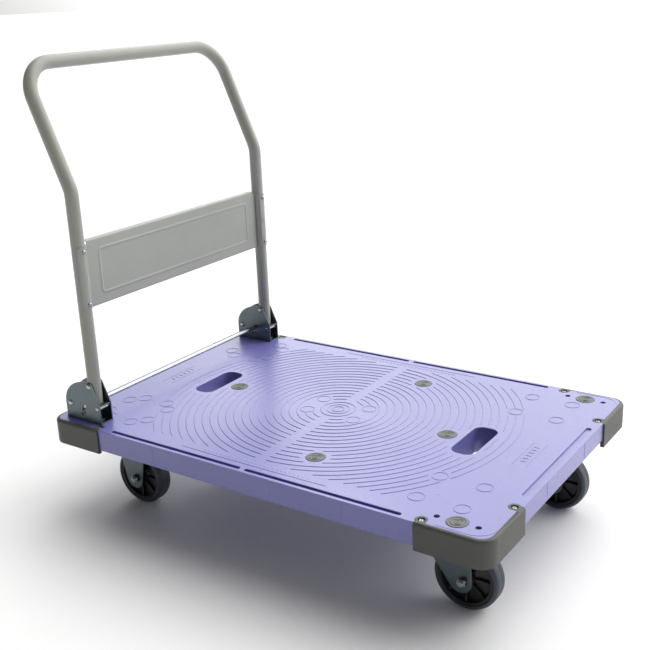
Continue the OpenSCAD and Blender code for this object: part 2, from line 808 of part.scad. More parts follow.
module at_swivel_axle(side) at_swivel_axis(side)
    translate([swivel_trail, 0, axle_height]) children();

// Fork legs, drawn in the XZ plane with the axle at the origin
module fork_legs(rear_top, front_top, top, shoulder) {
    difference() {
        for (side = [-1, 1]) translate([0, side * (leg_inner + fork_wall / 2), 0]) rotate([90, 0, 0])
            linear_extrude(fork_wall, center = true) translate([-fork_end_back, -fork_end_drop]) {
                circle(fork_end_r);
                fork_leg_outline(fork_end_back - rear_top, fork_end_back + front_top,
                                 top + fork_end_drop, shoulder + fork_end_drop);
            }
        along_y() cylinder(d = axle_d + 2 * running_gap, h = 4 * leg_outer, center = true);
    }
}

// A leg that tapers from its shoulder to the round end, whose centre is at
// the origin, and touches the round squarely
module fork_leg_outline(rear, front, top, shoulder) {
    function touch(x, turn) =
        let(a = atan2(shoulder, x) + turn * acos(fork_end_r / norm([x, shoulder])))
        fork_end_r * [cos(a), sin(a)];
    polygon([touch(rear, 1), [rear, shoulder], [rear, top], [front, top], [front, shoulder],
             touch(front, -1)]);
}

module fixed_fork(side) color(zinc) at_fixed_axle(side) {
    top = plate_top - axle_height;
    fork_legs(fixed_leg_rear, fixed_leg_front, top - cut, top - fork_shoulder);
    translate([0, 0, top - plate_wall]) difference() {
        linear_extrude(plate_wall)
            rounded_plate(fixed_bolts_x + 2 * plate_margin, fixed_bolts_y + 2 * plate_margin,
                          plate_margin / 2);
        at_corners(fixed_bolts_x, fixed_bolts_y) translate([0, 0, -cut])
            cylinder(d = caster_bolt_d + 2 * bolt_gap, h = plate_wall + 2 * cut);
    }
}

module swivel_fork(side) color(zinc) at_swivel_axis(side) difference() {
    union() {
        translate([swivel_trail, 0, axle_height])
            fork_legs(fork_rear + swivel_trail, fork_front - swivel_trail,
                      crown_top - axle_height, crown_bottom - fork_shoulder - axle_height);
        translate([0, 0, crown_bottom]) {
            cylinder(r = crown_r, h = fork_wall);
            translate([-fork_rear, -leg_outer, 0])
                cube([fork_rear + fork_front, 2 * leg_outer, fork_wall]);
        }
    }
    translate([0, 0, crown_bottom - cut])
        cylinder(d = kingpin_d + 2 * running_gap, h = fork_wall + 2 * cut);
}

module swivel_plate(side) color(zinc) at_swivel_axis(side) difference() {
    union() {
        translate([0, 0, plate_bottom]) linear_extrude(plate_wall)
            rounded_plate(swivel_bolts + 2 * plate_margin, swivel_bolts + 2 * plate_margin,
                          plate_margin / 2);
        translate([0, 0, race_bottom]) ring(2 * race_r, 2 * (ball_circle_r - ball_d), race_depth + cut);
        translate([0, 0, crown_top + 2 * seat_gap])
            ring(2 * skirt_r, 2 * (skirt_r - skirt_sheet), plate_bottom - crown_top);
    }
    translate([0, 0, plate_bottom - cut])
        cylinder(d = kingpin_d + 2 * running_gap, h = plate_wall + 2 * cut);
    at_corners(swivel_bolts, swivel_bolts) translate([0, 0, plate_bottom - cut])
        cylinder(d = caster_bolt_d + 2 * bolt_gap, h = plate_wall + 2 * cut);
}

module swivel_balls(side) color(bright_steel) at_swivel_axis(side)
    for (i = [0:ball_count - 1]) rotate(360 * i / ball_count)
        translate([ball_circle_r, 0, crown_top + seat_gap + ball_d / 2]) sphere(d = ball_d, $fn = 24);

module kingpin(side) color(bright_steel) at_swivel_axis(side) {
    foot = crown_bottom - seat_gap - kingpin_nut;
    translate([0, 0, plate_top]) cylinder(d = kingpin_head_d, h = kingpin_head);
    translate([0, 0, foot]) cylinder(d = kingpin_d, h = plate_top - foot + cut);
    translate([0, 0, foot]) hex(kingpin_head_d, kingpin_nut);
}

module caster_bolts() in_frame() color(bright_steel) at_caster_bolts() {
    translate([0, 0, plate_bottom - caster_bolt_head]) hex(caster_bolt_head_d, caster_bolt_head);
    translate([0, 0, plate_bottom]) cylinder(d = caster_bolt_d, h = caster_bolt_length);
}

module caster_inserts() in_frame() color(brass) at_caster_bolts()
    translate([0, 0, plate_top]) ring(insert_d, caster_bolt_d + 2 * running_gap, insert_length);

module fixed_tyre(side) color(tyre_slate) at_fixed_axle(side) tyre();
module fixed_hub(side) color(hub_black) at_fixed_axle(side) hub();
module fixed_sleeve(side) color(bright_steel) at_fixed_axle(side) sleeve();
module fixed_axle(side) color(bright_steel) at_fixed_axle(side) axle_bolt();
module fixed_nut(side) color(bright_steel) at_fixed_axle(side) axle_lock_nut();
module swivel_tyre(side) color(tyre_slate) at_swivel_axle(side) tyre();
module swivel_hub(side) color(hub_black) at_swivel_axle(side) hub();
module swivel_sleeve(side) color(bright_steel) at_swivel_axle(side) sleeve();
module swivel_axle(side) color(bright_steel) at_swivel_axle(side) axle_bolt();
module swivel_nut(side) color(bright_steel) at_swivel_axle(side) axle_lock_nut();

deck();
bumper(FRONT, LEFT);  // bumper_front_left
bumper(FRONT, RIGHT);  // bumper_front_right
bumper(REAR, LEFT);  // bumper_rear_left
bumper(REAR, RIGHT);  // bumper_rear_right
bumper_screws();
grip_pads();
handle_tube();
handle_panel();
panel_screws();
bracket(LEFT);  // bracket_left
bracket(RIGHT);  // bracket_right
bracket_bolts();
bracket_nuts();
pivot_pins();
stop_pins();
spacer_rivets();
latch_rod();
latch_springs();
fixed_fork(LEFT);  // fixed_fork_left
fixed_fork(RIGHT);  // fixed_fork_right
fixed_hub(LEFT);  // fixed_hub_left
fixed_hub(RIGHT);  // fixed_hub_right
fixed_tyre(LEFT);  // fixed_tyre_left
fixed_tyre(RIGHT);  // fixed_tyre_right
fixed_sleeve(LEFT);  // fixed_sleeve_left
fixed_sleeve(RIGHT);  // fixed_sleeve_right
fixed_axle(LEFT);  // fixed_axle_left
fixed_axle(RIGHT);  // fixed_axle_right
fixed_nut(LEFT);  // fixed_nut_left
fixed_nut(RIGHT);  // fixed_nut_right
swivel_plate(LEFT);  // swivel_plate_left
swivel_plate(RIGHT);  // swivel_plate_right
swivel_balls(LEFT);  // swivel_balls_left
swivel_balls(RIGHT);  // swivel_balls_right
kingpin(LEFT);  // kingpin_left
kingpin(RIGHT);  // kingpin_right
swivel_fork(LEFT);  // swivel_fork_left
swivel_fork(RIGHT);  // swivel_fork_right
swivel_hub(LEFT);  // swivel_hub_left
swivel_hub(RIGHT);  // swivel_hub_right
swivel_tyre(LEFT);  // swivel_tyre_left
swivel_tyre(RIGHT);  // swivel_tyre_right
swivel_sleeve(LEFT);  // swivel_sleeve_left
swivel_sleeve(RIGHT);  // swivel_sleeve_right
swivel_axle(LEFT);  // swivel_axle_left
swivel_axle(RIGHT);  // swivel_axle_right
swivel_nut(LEFT);  // swivel_nut_left
swivel_nut(RIGHT);  // swivel_nut_right
caster_bolts();
caster_inserts();
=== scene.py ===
import math

import bmesh
import bpy
import numpy as np
from mathutils import Matrix, Vector


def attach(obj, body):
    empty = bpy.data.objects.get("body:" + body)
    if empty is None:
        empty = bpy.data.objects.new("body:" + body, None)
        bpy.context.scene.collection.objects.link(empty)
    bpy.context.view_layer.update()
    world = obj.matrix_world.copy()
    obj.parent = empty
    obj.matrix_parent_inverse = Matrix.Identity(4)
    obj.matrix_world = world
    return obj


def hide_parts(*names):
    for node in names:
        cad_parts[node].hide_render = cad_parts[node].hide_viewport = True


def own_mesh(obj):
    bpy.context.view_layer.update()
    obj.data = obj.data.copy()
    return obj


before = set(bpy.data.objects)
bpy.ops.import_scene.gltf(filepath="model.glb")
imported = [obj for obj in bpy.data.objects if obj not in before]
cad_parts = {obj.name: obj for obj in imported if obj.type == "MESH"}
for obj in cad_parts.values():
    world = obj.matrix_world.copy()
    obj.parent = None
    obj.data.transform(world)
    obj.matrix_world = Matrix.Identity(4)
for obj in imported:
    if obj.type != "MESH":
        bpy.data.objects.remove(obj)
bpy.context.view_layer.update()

# The CAD source's own measures, in metres, z up from the floor. The deck's outline, marks and pads and
# the camera are given from the deck's own origin, which lies DECK_SHIFT along x in the shared frame.
DECK_TOP = 0.196
DECK_SHIFT = 0.011301
# middle of the deck's length, from the deck's own origin
DECK_MID = -0.004
HALF_LENGTH = 0.464
HALF_WIDTH = 0.305
PIVOT_X = -0.363699
PIVOT_Z = 0.270
LEG_Y = 0.266
TUBE_R = 0.0127
TUBE_WALL = 0.0016
LEAN = math.radians(23.5)
LEAN_RADIUS = 0.055
LEAN_LENGTH = 0.238
GRIP_RADIUS = 0.066
BEND_Z = 0.639
BRACKET_SHEET = 0.0023
LEG_SLACK = 0.0008
# outside of a bracket's cheek, from the middle of the leg between the cheeks
CHEEK_OUT = 0.5 * (2 * TUBE_R + LEG_SLACK) + BRACKET_SHEET
# the latch rod, from the pivot
ROD_X = -0.017
ROD_Z = -0.043
ROD_R = 0.004
AXLE_Z = 0.0575
TRACK_Y = 0.191
FIXED_X = -0.344 + DECK_SHIFT
SWIVEL_X = 0.339 + DECK_SHIFT
SWIVEL_AXLE_X = 0.372 + DECK_SHIFT
WHEEL_R = 0.0575
WHEEL_W = 0.033
HUB_R = 0.0485
# half the length of an axle sleeve and of the hub's boss on it
SLEEVE_HALF = 0.0201
# outside of a caster fork's leg, from the wheel's plane
LEG_OUTER = 0.0235

# Choices of this script: edges of skirts and bumpers under this height are bottom edges, faces larger
# than this area stay flat, and the studio is bright on this side
LOW_EDGE_Z = DECK_TOP - 0.030
FLAT_AREA = 0.0002
LIGHT_SIDE = (0.17, 0.95, 0.45)


# ---------------------------------------------------------------- materials

def srgb(r, g, b):
    """Linear colour of a screen colour given from 0 to 255."""
    def one(c):
        c /= 255
        return c / 12.92 if c <= 0.04045 else ((c + 0.055) / 1.055) ** 2.4
    return (one(r), one(g), one(b), 1.0)


def shade(colour, k):
    """A colour made k times as bright."""
    return tuple(min(1.0, c * k) for c in colour[:3]) + (1.0,)


class Nodes:
    """Short calls that add nodes to one material."""

    def __init__(self, name):
        self.material = bpy.data.materials.new(name)
        self.material.use_nodes = True
        self.tree = self.material.node_tree
        self.tree.nodes.clear()
        self.out = self.add("ShaderNodeOutputMaterial")
        self.bsdf = self.add("ShaderNodeBsdfPrincipled")
        self.link(self.bsdf.outputs[0], self.out.inputs[0])
        self.coord = self.add("ShaderNodeTexCoord").outputs["Object"]

    def add(self, kind, **values):
        node = self.tree.nodes.new(kind)
        for key, value in values.items():
            setattr(node, key, value)
        return node

    def link(self, a, b):
        self.tree.links.new(a, b)

    def noise(self, scale, detail=4.0, rough=0.55, stretch=None):
        node = self.add("ShaderNodeTexNoise")
        node.inputs["Scale"].default_value = scale
        node.inputs["Detail"].default_value = detail
        node.inputs["Roughness"].default_value = rough
        source = self.coord
        if stretch:
            mapping = self.add("ShaderNodeMapping")
            mapping.inputs["Scale"].default_value = stretch
            self.link(self.coord, mapping.inputs["Vector"])
            source = mapping.outputs[0]
        self.link(source, node.inputs["Vector"])
        return node.outputs["Fac"]

    def ramp(self, value, low, high, start=0.0, end=1.0):
        node = self.add("ShaderNodeMapRange")
        for key, v in (("From Min", low), ("From Max", high), ("To Min", start), ("To Max", end)):
            node.inputs[key].default_value = v
        self.link(value, node.inputs["Value"])
        return node.outputs[0]

    def mix(self, fac, a, b):
        node = self.add("ShaderNodeMix", data_type="RGBA")
        self.link(fac, node.inputs["Factor"])
        for value, socket in ((a, node.inputs["A"]), (b, node.inputs["B"])):
            if isinstance(value, tuple):
                socket.default_value = value
            else:
                self.link(value, socket)
        return node.outputs["Result"]

    def bump(self, height, strength, distance, normal=None):
        node = self.add("ShaderNodeBump")
        node.inputs["Strength"].default_value = strength
        node.inputs["Distance"].default_value = distance
        self.link(height, node.inputs["Height"])
        if normal is not None:
            self.link(normal, node.inputs["Normal"])
        return node.outputs[0]

    def occlusion(self, distance):
        node = self.add("ShaderNodeAmbientOcclusion", samples=6)
        node.inputs["Distance"].default_value = distance
        return node.outputs["AO"]

    def rounded(self, radius):
        node = self.add("ShaderNodeBevel", samples=6)
        node.inputs["Radius"].default_value = radius
        return node.outputs[0]

    def finish(self, colour, rough, normal, metallic=0.0, **sockets):
        self.link(colour, self.bsdf.inputs["Base Color"])
        self.link(rough, self.bsdf.inputs["Roughness"])
        if normal is not None:
            self.link(normal, self.bsdf.inputs["Normal"])
        self.bsdf.inputs["Metallic"].default_value = metallic
        for key, value in sockets.items():
            self.bsdf.inputs[key.replace("_", " ")].default_value = value
        return self.material


def moulded(name, base, painted_shade, rough, grain, grain_depth, blotch=0.06, reach=0.012, edge=0.0, coat=0.0):
    """Moulded resin or rubber: slow colour drift, painted shade in recesses and under neighbouring parts, a
    fine grain and scuffs.
    """
    n = Nodes(name)
    slow = n.noise(7.0, 3.0)
    fine = n.noise(grain, 2.0, 0.5)
    scuff = n.ramp(n.noise(38.0, 6.0, 0.7, (1.0, 3.0, 1.0)), 0.60, 0.74)
    colour = n.mix(n.ramp(slow, 0.3, 0.7), shade(base, 1 - blotch), shade(base, 1 + blotch))
    colour = n.mix(n.ramp(scuff, 0, 1, 0, 0.16), colour, shade(base, 1.22))
    colour = n.mix(n.ramp(fine, 0.35, 0.65, 0, 0.18), colour, shade(base, 0.86))
    # painted shade: recesses and places under or beside other parts turn towards the darker shade colour, by
    # ambient occlusion within reach
    colour = n.mix(n.ramp(n.occlusion(reach), 0.30, 0.90, 0.38, 0.0), colour, painted_shade)
    roughness = n.ramp(n.noise(grain / 6, 5.0, 0.65), 0.3, 0.7, rough - 0.05, rough + 0.08)
    edges = n.rounded(edge) if edge else None
    normal = n.bump(fine, 0.5, grain_depth, n.bump(slow, 0.25, grain_depth * 4, edges))
    return n.finish(colour, roughness, normal, Coat_Weight=coat, Coat_Roughness=0.34)


def painted(name, base, rough=0.38, orange=420.0):
    """Powder coat over steel: orange peel, faint dust, a few small scuffs, and painted shade in corners and
    beside other parts.
    """
    n = Nodes(name)
    slow = n.noise(5.0, 3.0)
    peel = n.noise(orange, 2.0, 0.4)
    scuff = n.ramp(n.noise(26.0, 8.0, 0.75, (1.0, 1.0, 0.25)), 0.64, 0.74)
    colour = n.mix(n.ramp(slow, 0.3, 0.7), shade(base, 0.93), shade(base, 1.06))
    colour = n.mix(n.ramp(scuff, 0, 1, 0, 0.22), colour, shade(base, 0.66))
    # painted shade: corners and places beside other parts darken towards 0.45 of the base colour, by ambient
    # occlusion
    colour = n.mix(n.ramp(n.occlusion(0.01), 0.3, 0.9, 0.45, 0.0), colour, shade(base, 0.45))
    roughness = n.ramp(n.noise(60.0, 5.0, 0.6), 0.3, 0.7, rough - 0.06, rough + 0.10)
    normal = n.bump(peel, 0.35, 0.00012)
    return n.finish(colour, roughness, normal, 0.0, Coat_Weight=0.25, Coat_Roughness=0.22)


def plated(name, base, tint, rough, edge=0.0):
    """Plated steel: passivation clouds, drawing lines and painted shade in corners."""
    n = Nodes(name)
    cloud = n.noise(42.0, 6.0, 0.6)
    lines = n.noise(700.0, 3.0, 0.5, (1.0, 1.0, 0.05))
    colour = n.mix(n.ramp(cloud, 0.32, 0.68), base, tint)
    colour = n.mix(n.ramp(lines, 0.3, 0.7, 0, 0.25), colour, shade(base, 0.72))
    # painted shade: corners and places beside other parts darken towards 0.3 of the base colour, by ambient
    # occlusion
    colour = n.mix(n.ramp(n.occlusion(0.006), 0.3, 0.9, 0.25, 0.0), colour, shade(base, 0.3))
    roughness = n.ramp(cloud, 0.3, 0.7, rough - 0.07, rough + 0.12)
    normal = n.bump(lines, 0.18, 0.00006, n.bump(cloud, 0.2, 0.0002, n.rounded(edge) if edge else None))
    return n.finish(colour, roughness, normal, 1.0)


def tyre_rubber(name, base):
    """Solid rubber: mould lines round the tread, dust on the running face."""
    n = Nodes(name)
    slow = n.noise(30.0, 5.0, 0.6)
    fine = n.noise(900.0, 3.0)
    dust = n.ramp(n.noise(75.0, 7.0, 0.7), 0.52, 0.72)
    colour = n.mix(n.ramp(slow, 0.3, 0.7), shade(base, 0.88), shade(base, 1.10))
    colour = n.mix(n.ramp(dust, 0, 1, 0, 0.28), colour, shade(base, 1.7))
    roughness = n.ramp(slow, 0.3, 0.7, 0.42, 0.58)
    normal = n.bump(fine, 0.35, 0.00012, n.bump(slow, 0.2, 0.0004))
    return n.finish(colour, roughness, normal, 0.0, Specular_IOR_Level=0.5)


LAVENDER = srgb(110, 109, 177)
# the second colour of each moulded material is painted shade, laid by ambient occlusion into grooves, rings,
# corners and under neighbouring parts
MATERIALS = {
    "deck_resin": moulded("Deck resin", LAVENDER, srgb(78, 76, 160), 0.31, 650.0, 0.00010,
                          blotch=0.035, edge=0.0016, coat=0.6),
    "bumper_rubber": moulded("Bumper rubber", srgb(72, 74, 70), srgb(32, 32, 30), 0.50, 900.0, 0.00022,
                             edge=0.003),
    "pad_rubber": moulded("Pad rubber", srgb(98, 102, 100), srgb(30, 32, 31), 0.46, 1100.0, 0.00015,
                          reach=0.003),
    "handle_paint": painted("Handle paint", srgb(142, 144, 135)),
    "panel_paint": painted("Panel paint", srgb(147, 149, 142), 0.42, 380.0),
    "zinc_steel": plated("Zinc plate", (0.115, 0.150, 0.165, 1), (0.165, 0.19, 0.195, 1), 0.38, 0.0009),
    "bright_steel": plated("Bright plate", (0.34, 0.36, 0.37, 1), (0.46, 0.47, 0.46, 1), 0.22),
    "hub_nylon": moulded("Hub nylon", srgb(34, 34, 36), srgb(10, 10, 11), 0.34, 700.0, 0.00012, blotch=0.1),
    "tyre_rubber": tyre_rubber("Tyre rubber", srgb(52, 60, 70)),
    "insert_brass": plated("Insert brass", (0.60, 0.44, 0.16, 1), (0.70, 0.55, 0.24, 1), 0.30),
}


# -------------------------------------------------------------- mesh helpers

def piece(name, bm, slot_name, body, sharp=32.0, stands_for=()):
    """Turns a bmesh, in the row frame, into a smooth-shaded piece that rides on a body."""
    bmesh.ops.remove_doubles(bm, verts=bm.verts, dist=1e-7)
    bmesh.ops.recalc_face_normals(bm, faces=bm.faces)
    mesh = bpy.data.meshes.new(name)
    bm.to_mesh(mesh)
    bm.free()
    mesh.polygons.foreach_set("use_smooth", [True] * len(mesh.polygons))
    mesh.set_sharp_from_angle(angle=math.radians(sharp))
    mesh.materials.append(MATERIALS[slot_name])
    obj = bpy.data.objects.new(name, mesh)
    bpy.context.scene.collection.objects.link(obj)
    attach(obj, body)
    if stands_for:
        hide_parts(*stands_for)
    return obj


def add_grid(bm, rows, close_rows=False, close_columns=False):
    """Adds quads between rows of points. Each row has the same number of points."""
    verts = [[bm.verts.new(p) for p in row] for row in rows]
    n, m = len(verts), len(verts[0])
    for i in range(n if close_rows else n - 1):
        for k in range(m if close_columns else m - 1):
            a, b = verts[i], verts[(i + 1) % n]
            bm.faces.new((a[k], a[(k + 1) % m], b[(k + 1) % m], b[k]))
    return verts


def cap(bm, ring):
    bm.faces.new(ring)


def lathe(bm, profile, place, segments=96, closed=False):
    """Turns a profile of (radius, height) about local Z, then puts it in place."""
    rows = []
    for i in range(segments):
        a = 2 * math.pi * i / segments
        rows.append([place @ Vector((r * math.cos(a), r * math.sin(a), h)) for r, h in profile])
    add_grid(bm, rows, close_rows=True, close_columns=closed)


def along(axis, origin):
    """Matrix that turns local Z to an axis, at an origin."""
    quaternion = Vector((0, 0, 1)).rotation_difference(Vector(axis))
    return Matrix.Translation(Vector(origin)) @ quaternion.to_matrix().to_4x4()


def hexagon(bm, corner_r, height, place, dome=0.0003, washer=0.0, turn=0.0):
    """A hex head or nut with its corners chamfered by a cone, and a washer face below."""
    flat_r = corner_r * math.cos(math.pi / 6)
    inner = flat_r * 0.93
    rows = []
    for i in range(72):
        a = 2 * math.pi * i / 72
        r = flat_r / math.cos((a % (math.pi / 3)) - math.pi / 6)
        drop = (r - inner) * 0.5
        c, s = math.cos(a + turn), math.sin(a + turn)
        rows.append([place @ Vector((x * c, x * s, z)) for x, z in (
            (r, washer), (r, height - drop), (inner, height - 0.0001),
            (inner * 0.8, height + dome), (0, height + dome))])
    verts = add_grid(bm, rows, close_rows=True)
    cap(bm, [row[0] for row in verts])
    if washer:
        lathe(bm, [(0, 0), (flat_r * 0.98, 0), (flat_r * 0.98, washer), (0, washer)], place, 48)


def rod(bm, a, b, radius, chamfer=0.0004, segments=40):
    """A round pin from a to b, chamfered at both ends."""
    a, b = Vector(a), Vector(b)
    length = (b - a).length
    lathe(bm, [(0, 0), (radius - chamfer, 0), (radius, chamfer), (radius, length - chamfer),
               (radius - chamfer, length), (0, length)], along(b - a, a), segments)


def softened(node, slot_name, body, width, segments=2, angle=32.0, pick=None):
    """A copy of a CAD node's surface with the picked sharp edges rounded over, shown in its place.

    Level and large faces are shaded flat.
    """
    level = 0.9999
    bm = bmesh.new()
    bm.from_mesh(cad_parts[node].data)
    bmesh.ops.remove_doubles(bm, verts=bm.verts, dist=2e-6)
    bmesh.ops.dissolve_limit(bm, angle_limit=math.radians(1.0), verts=bm.verts, edges=bm.edges)
    edges = [e for e in bm.edges if len(e.link_faces) == 2
             and e.calc_face_angle(0) > math.radians(angle) and (pick is None or pick(e))]
    bmesh.ops.bevel(bm, geom=edges, offset=width, offset_type="OFFSET", segments=segments,
                    profile=0.5, affect="EDGES", clamp_overlap=False)
    obj = piece(node + "_shape", bm, slot_name, body, 40.0, (node,))
    for face in obj.data.polygons:
        face.use_smooth = abs(face.normal.z) < level and face.area < FLAT_AREA
    return obj


def carried(node, slot_name):
    """A CAD node shown as it is, with a finished material."""
    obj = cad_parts[node]
    obj.data.materials.clear()
    obj.data.materials.append(MATERIALS[slot_name])


# -------------------------------------------------------------- handle tube

def tube_path():
    """Centreline of the handle tube from the left foot over the grip to the right foot."""
    tangent = LEAN_RADIUS * math.tan(LEAN / 2)
    start = BEND_Z - tangent
    lean = Vector((-math.sin(LEAN), 0, math.cos(LEAN)))
    foot_z = 0.236
    half = [Vector((PIVOT_X, LEG_Y, z)) for z in np.linspace(foot_z, start, 24)]
    for a in np.linspace(0, LEAN, 14)[1:]:
        half.append(Vector((PIVOT_X - LEAN_RADIUS + LEAN_RADIUS * math.cos(a), LEG_Y,
                            start + LEAN_RADIUS * math.sin(a))))
    base = half[-1].copy()
    straight = LEAN_LENGTH - tangent - GRIP_RADIUS
    for s in np.linspace(0, straight, 8)[1:]:
        half.append(base + lean * s)
    corner = half[-1].copy()
    for a in np.linspace(0, math.pi / 2, 28)[1:]:
        half.append(corner + lean * (GRIP_RADIUS * math.sin(a))
                    + Vector((0, -GRIP_RADIUS * (1 - math.cos(a)), 0)))
    other = [Vector((p.x, -p.y, p.z)) for p in reversed(half)]
    return half + other


def foot_height(x):
    """Height of the sloping foot of the tube at a place x, measured from the pivot."""
    reach = math.hypot(ROD_X, ROD_Z)
    tilt = math.atan2(-ROD_X, -ROD_Z)
    fold, gap, travel = math.radians(99), 0.0004, 0.013

    def foot_reach(turn):
        return reach - ROD_R - gap + travel * turn / fold

    rear = math.sqrt(foot_reach(0) ** 2 - TUBE_R ** 2) - gap
    turned = tilt + math.asin(TUBE_R / foot_reach(tilt))
    front = math.sqrt(foot_reach(turned) ** 2 - TUBE_R ** 2) - gap
    return -(rear + front) / 2 - x * (front - rear) / (2 * TUBE_R)


def sweep(points, radius, segments):
    """Rings of points round a path, turned as little as possible from one to the next."""
    rings, side = [], Vector((1, 0, 0))
    for i, p in enumerate(points):
        before, after = points[max(i - 1, 0)], points[min(i + 1, len(points) - 1)]
        tangent = (after - before).normalized()
        side = (side - tangent * side.dot(tangent)).normalized()
        up = tangent.cross(side)
        rings.append([p + radius * (math.cos(a) * side + math.sin(a) * up)
                      for a in (2 * math.pi * k / segments for k in range(segments))])
    return rings


def handle_tube():
    """The bent tube with its bore, its two ends cut to the slope of the foot."""
    segments = 56
    points = tube_path()
    bm = bmesh.new()
    shells = []
    for radius in (TUBE_R, TUBE_R - TUBE_WALL):
        rings = sweep(points, radius, segments)
        for end in (0, -1):
            for v in rings[end]:
                v.z = PIVOT_Z + foot_height(v.x - PIVOT_X)
        shells.append(add_grid(bm, rings, close_columns=True))
    for end in (0, -1):
        outer, inner = shells[0][end], shells[1][end]
        for k in range(segments):
            m = (k + 1) % segments
            bm.faces.new((outer[k], outer[m], inner[m], inner[k]))
    piece("handle_tube_swept", bm, "handle_paint", "handle", 40.0, ("handle_tube",))


# ------------------------------------------------------------- handle panel

PANEL_X = PIVOT_X + 0.001
PANEL_WALL = 0.0014
PANEL_Z0, PANEL_Z1 = 0.418, 0.545
SADDLE_Z0, SADDLE_Z1 = 0.421, 0.538
SADDLE_R = TUBE_R + 0.0001
LIP_GAP = 0.007
LIP_HALF = LEG_Y - TUBE_R - LIP_GAP


def smooth_step(d, width):
    t = max(0.0, 1.0 - abs(d) / width)
    return t * t * (3 - 2 * t)


def rounded_box_distance(x, y, hx, hy, r):
    qx, qy = abs(x) - hx + r, abs(y) - hy + r
    return math.hypot(max(qx, 0), max(qy, 0)) + min(max(qx, qy), 0) - r


PANEL_FRONT = PANEL_X + PANEL_WALL / 2
PRESS_HEIGHT = 0.0011
PRESS_REACH = 0.0034
# the pressed frame: its middle height, its half width and height, and its corner radius
FRAME_Z = 0.48175
FRAME_HALF_Y = 0.219
FRAME_HALF_Z = 0.04225
FRAME_CORNER = 0.007


def ridge_height(y, z):
    """How far the panel's pressed frame stands out of the web."""
    d = rounded_box_distance(y, z - FRAME_Z, FRAME_HALF_Y, FRAME_HALF_Z, FRAME_CORNER)
    return PRESS_HEIGHT * smooth_step(d, PRESS_REACH)


def bead_height(u, z):
    """Two upright beads and a round dimple on each saddle, u along the sheet from the panel."""
    high = 0.0
    for z0, z1 in ((0.440, 0.470), (0.488, 0.527)):
        dz = max(z0 - z, z - z1, 0)
        high = max(high, PRESS_HEIGHT * smooth_step(math.hypot(u - 0.0125, dz), PRESS_REACH))
    ring = abs(math.hypot(u - 0.0150, z - 0.4795) - 0.0043)
    return max(high, 0.0007 * smooth_step(ring, 0.0015))


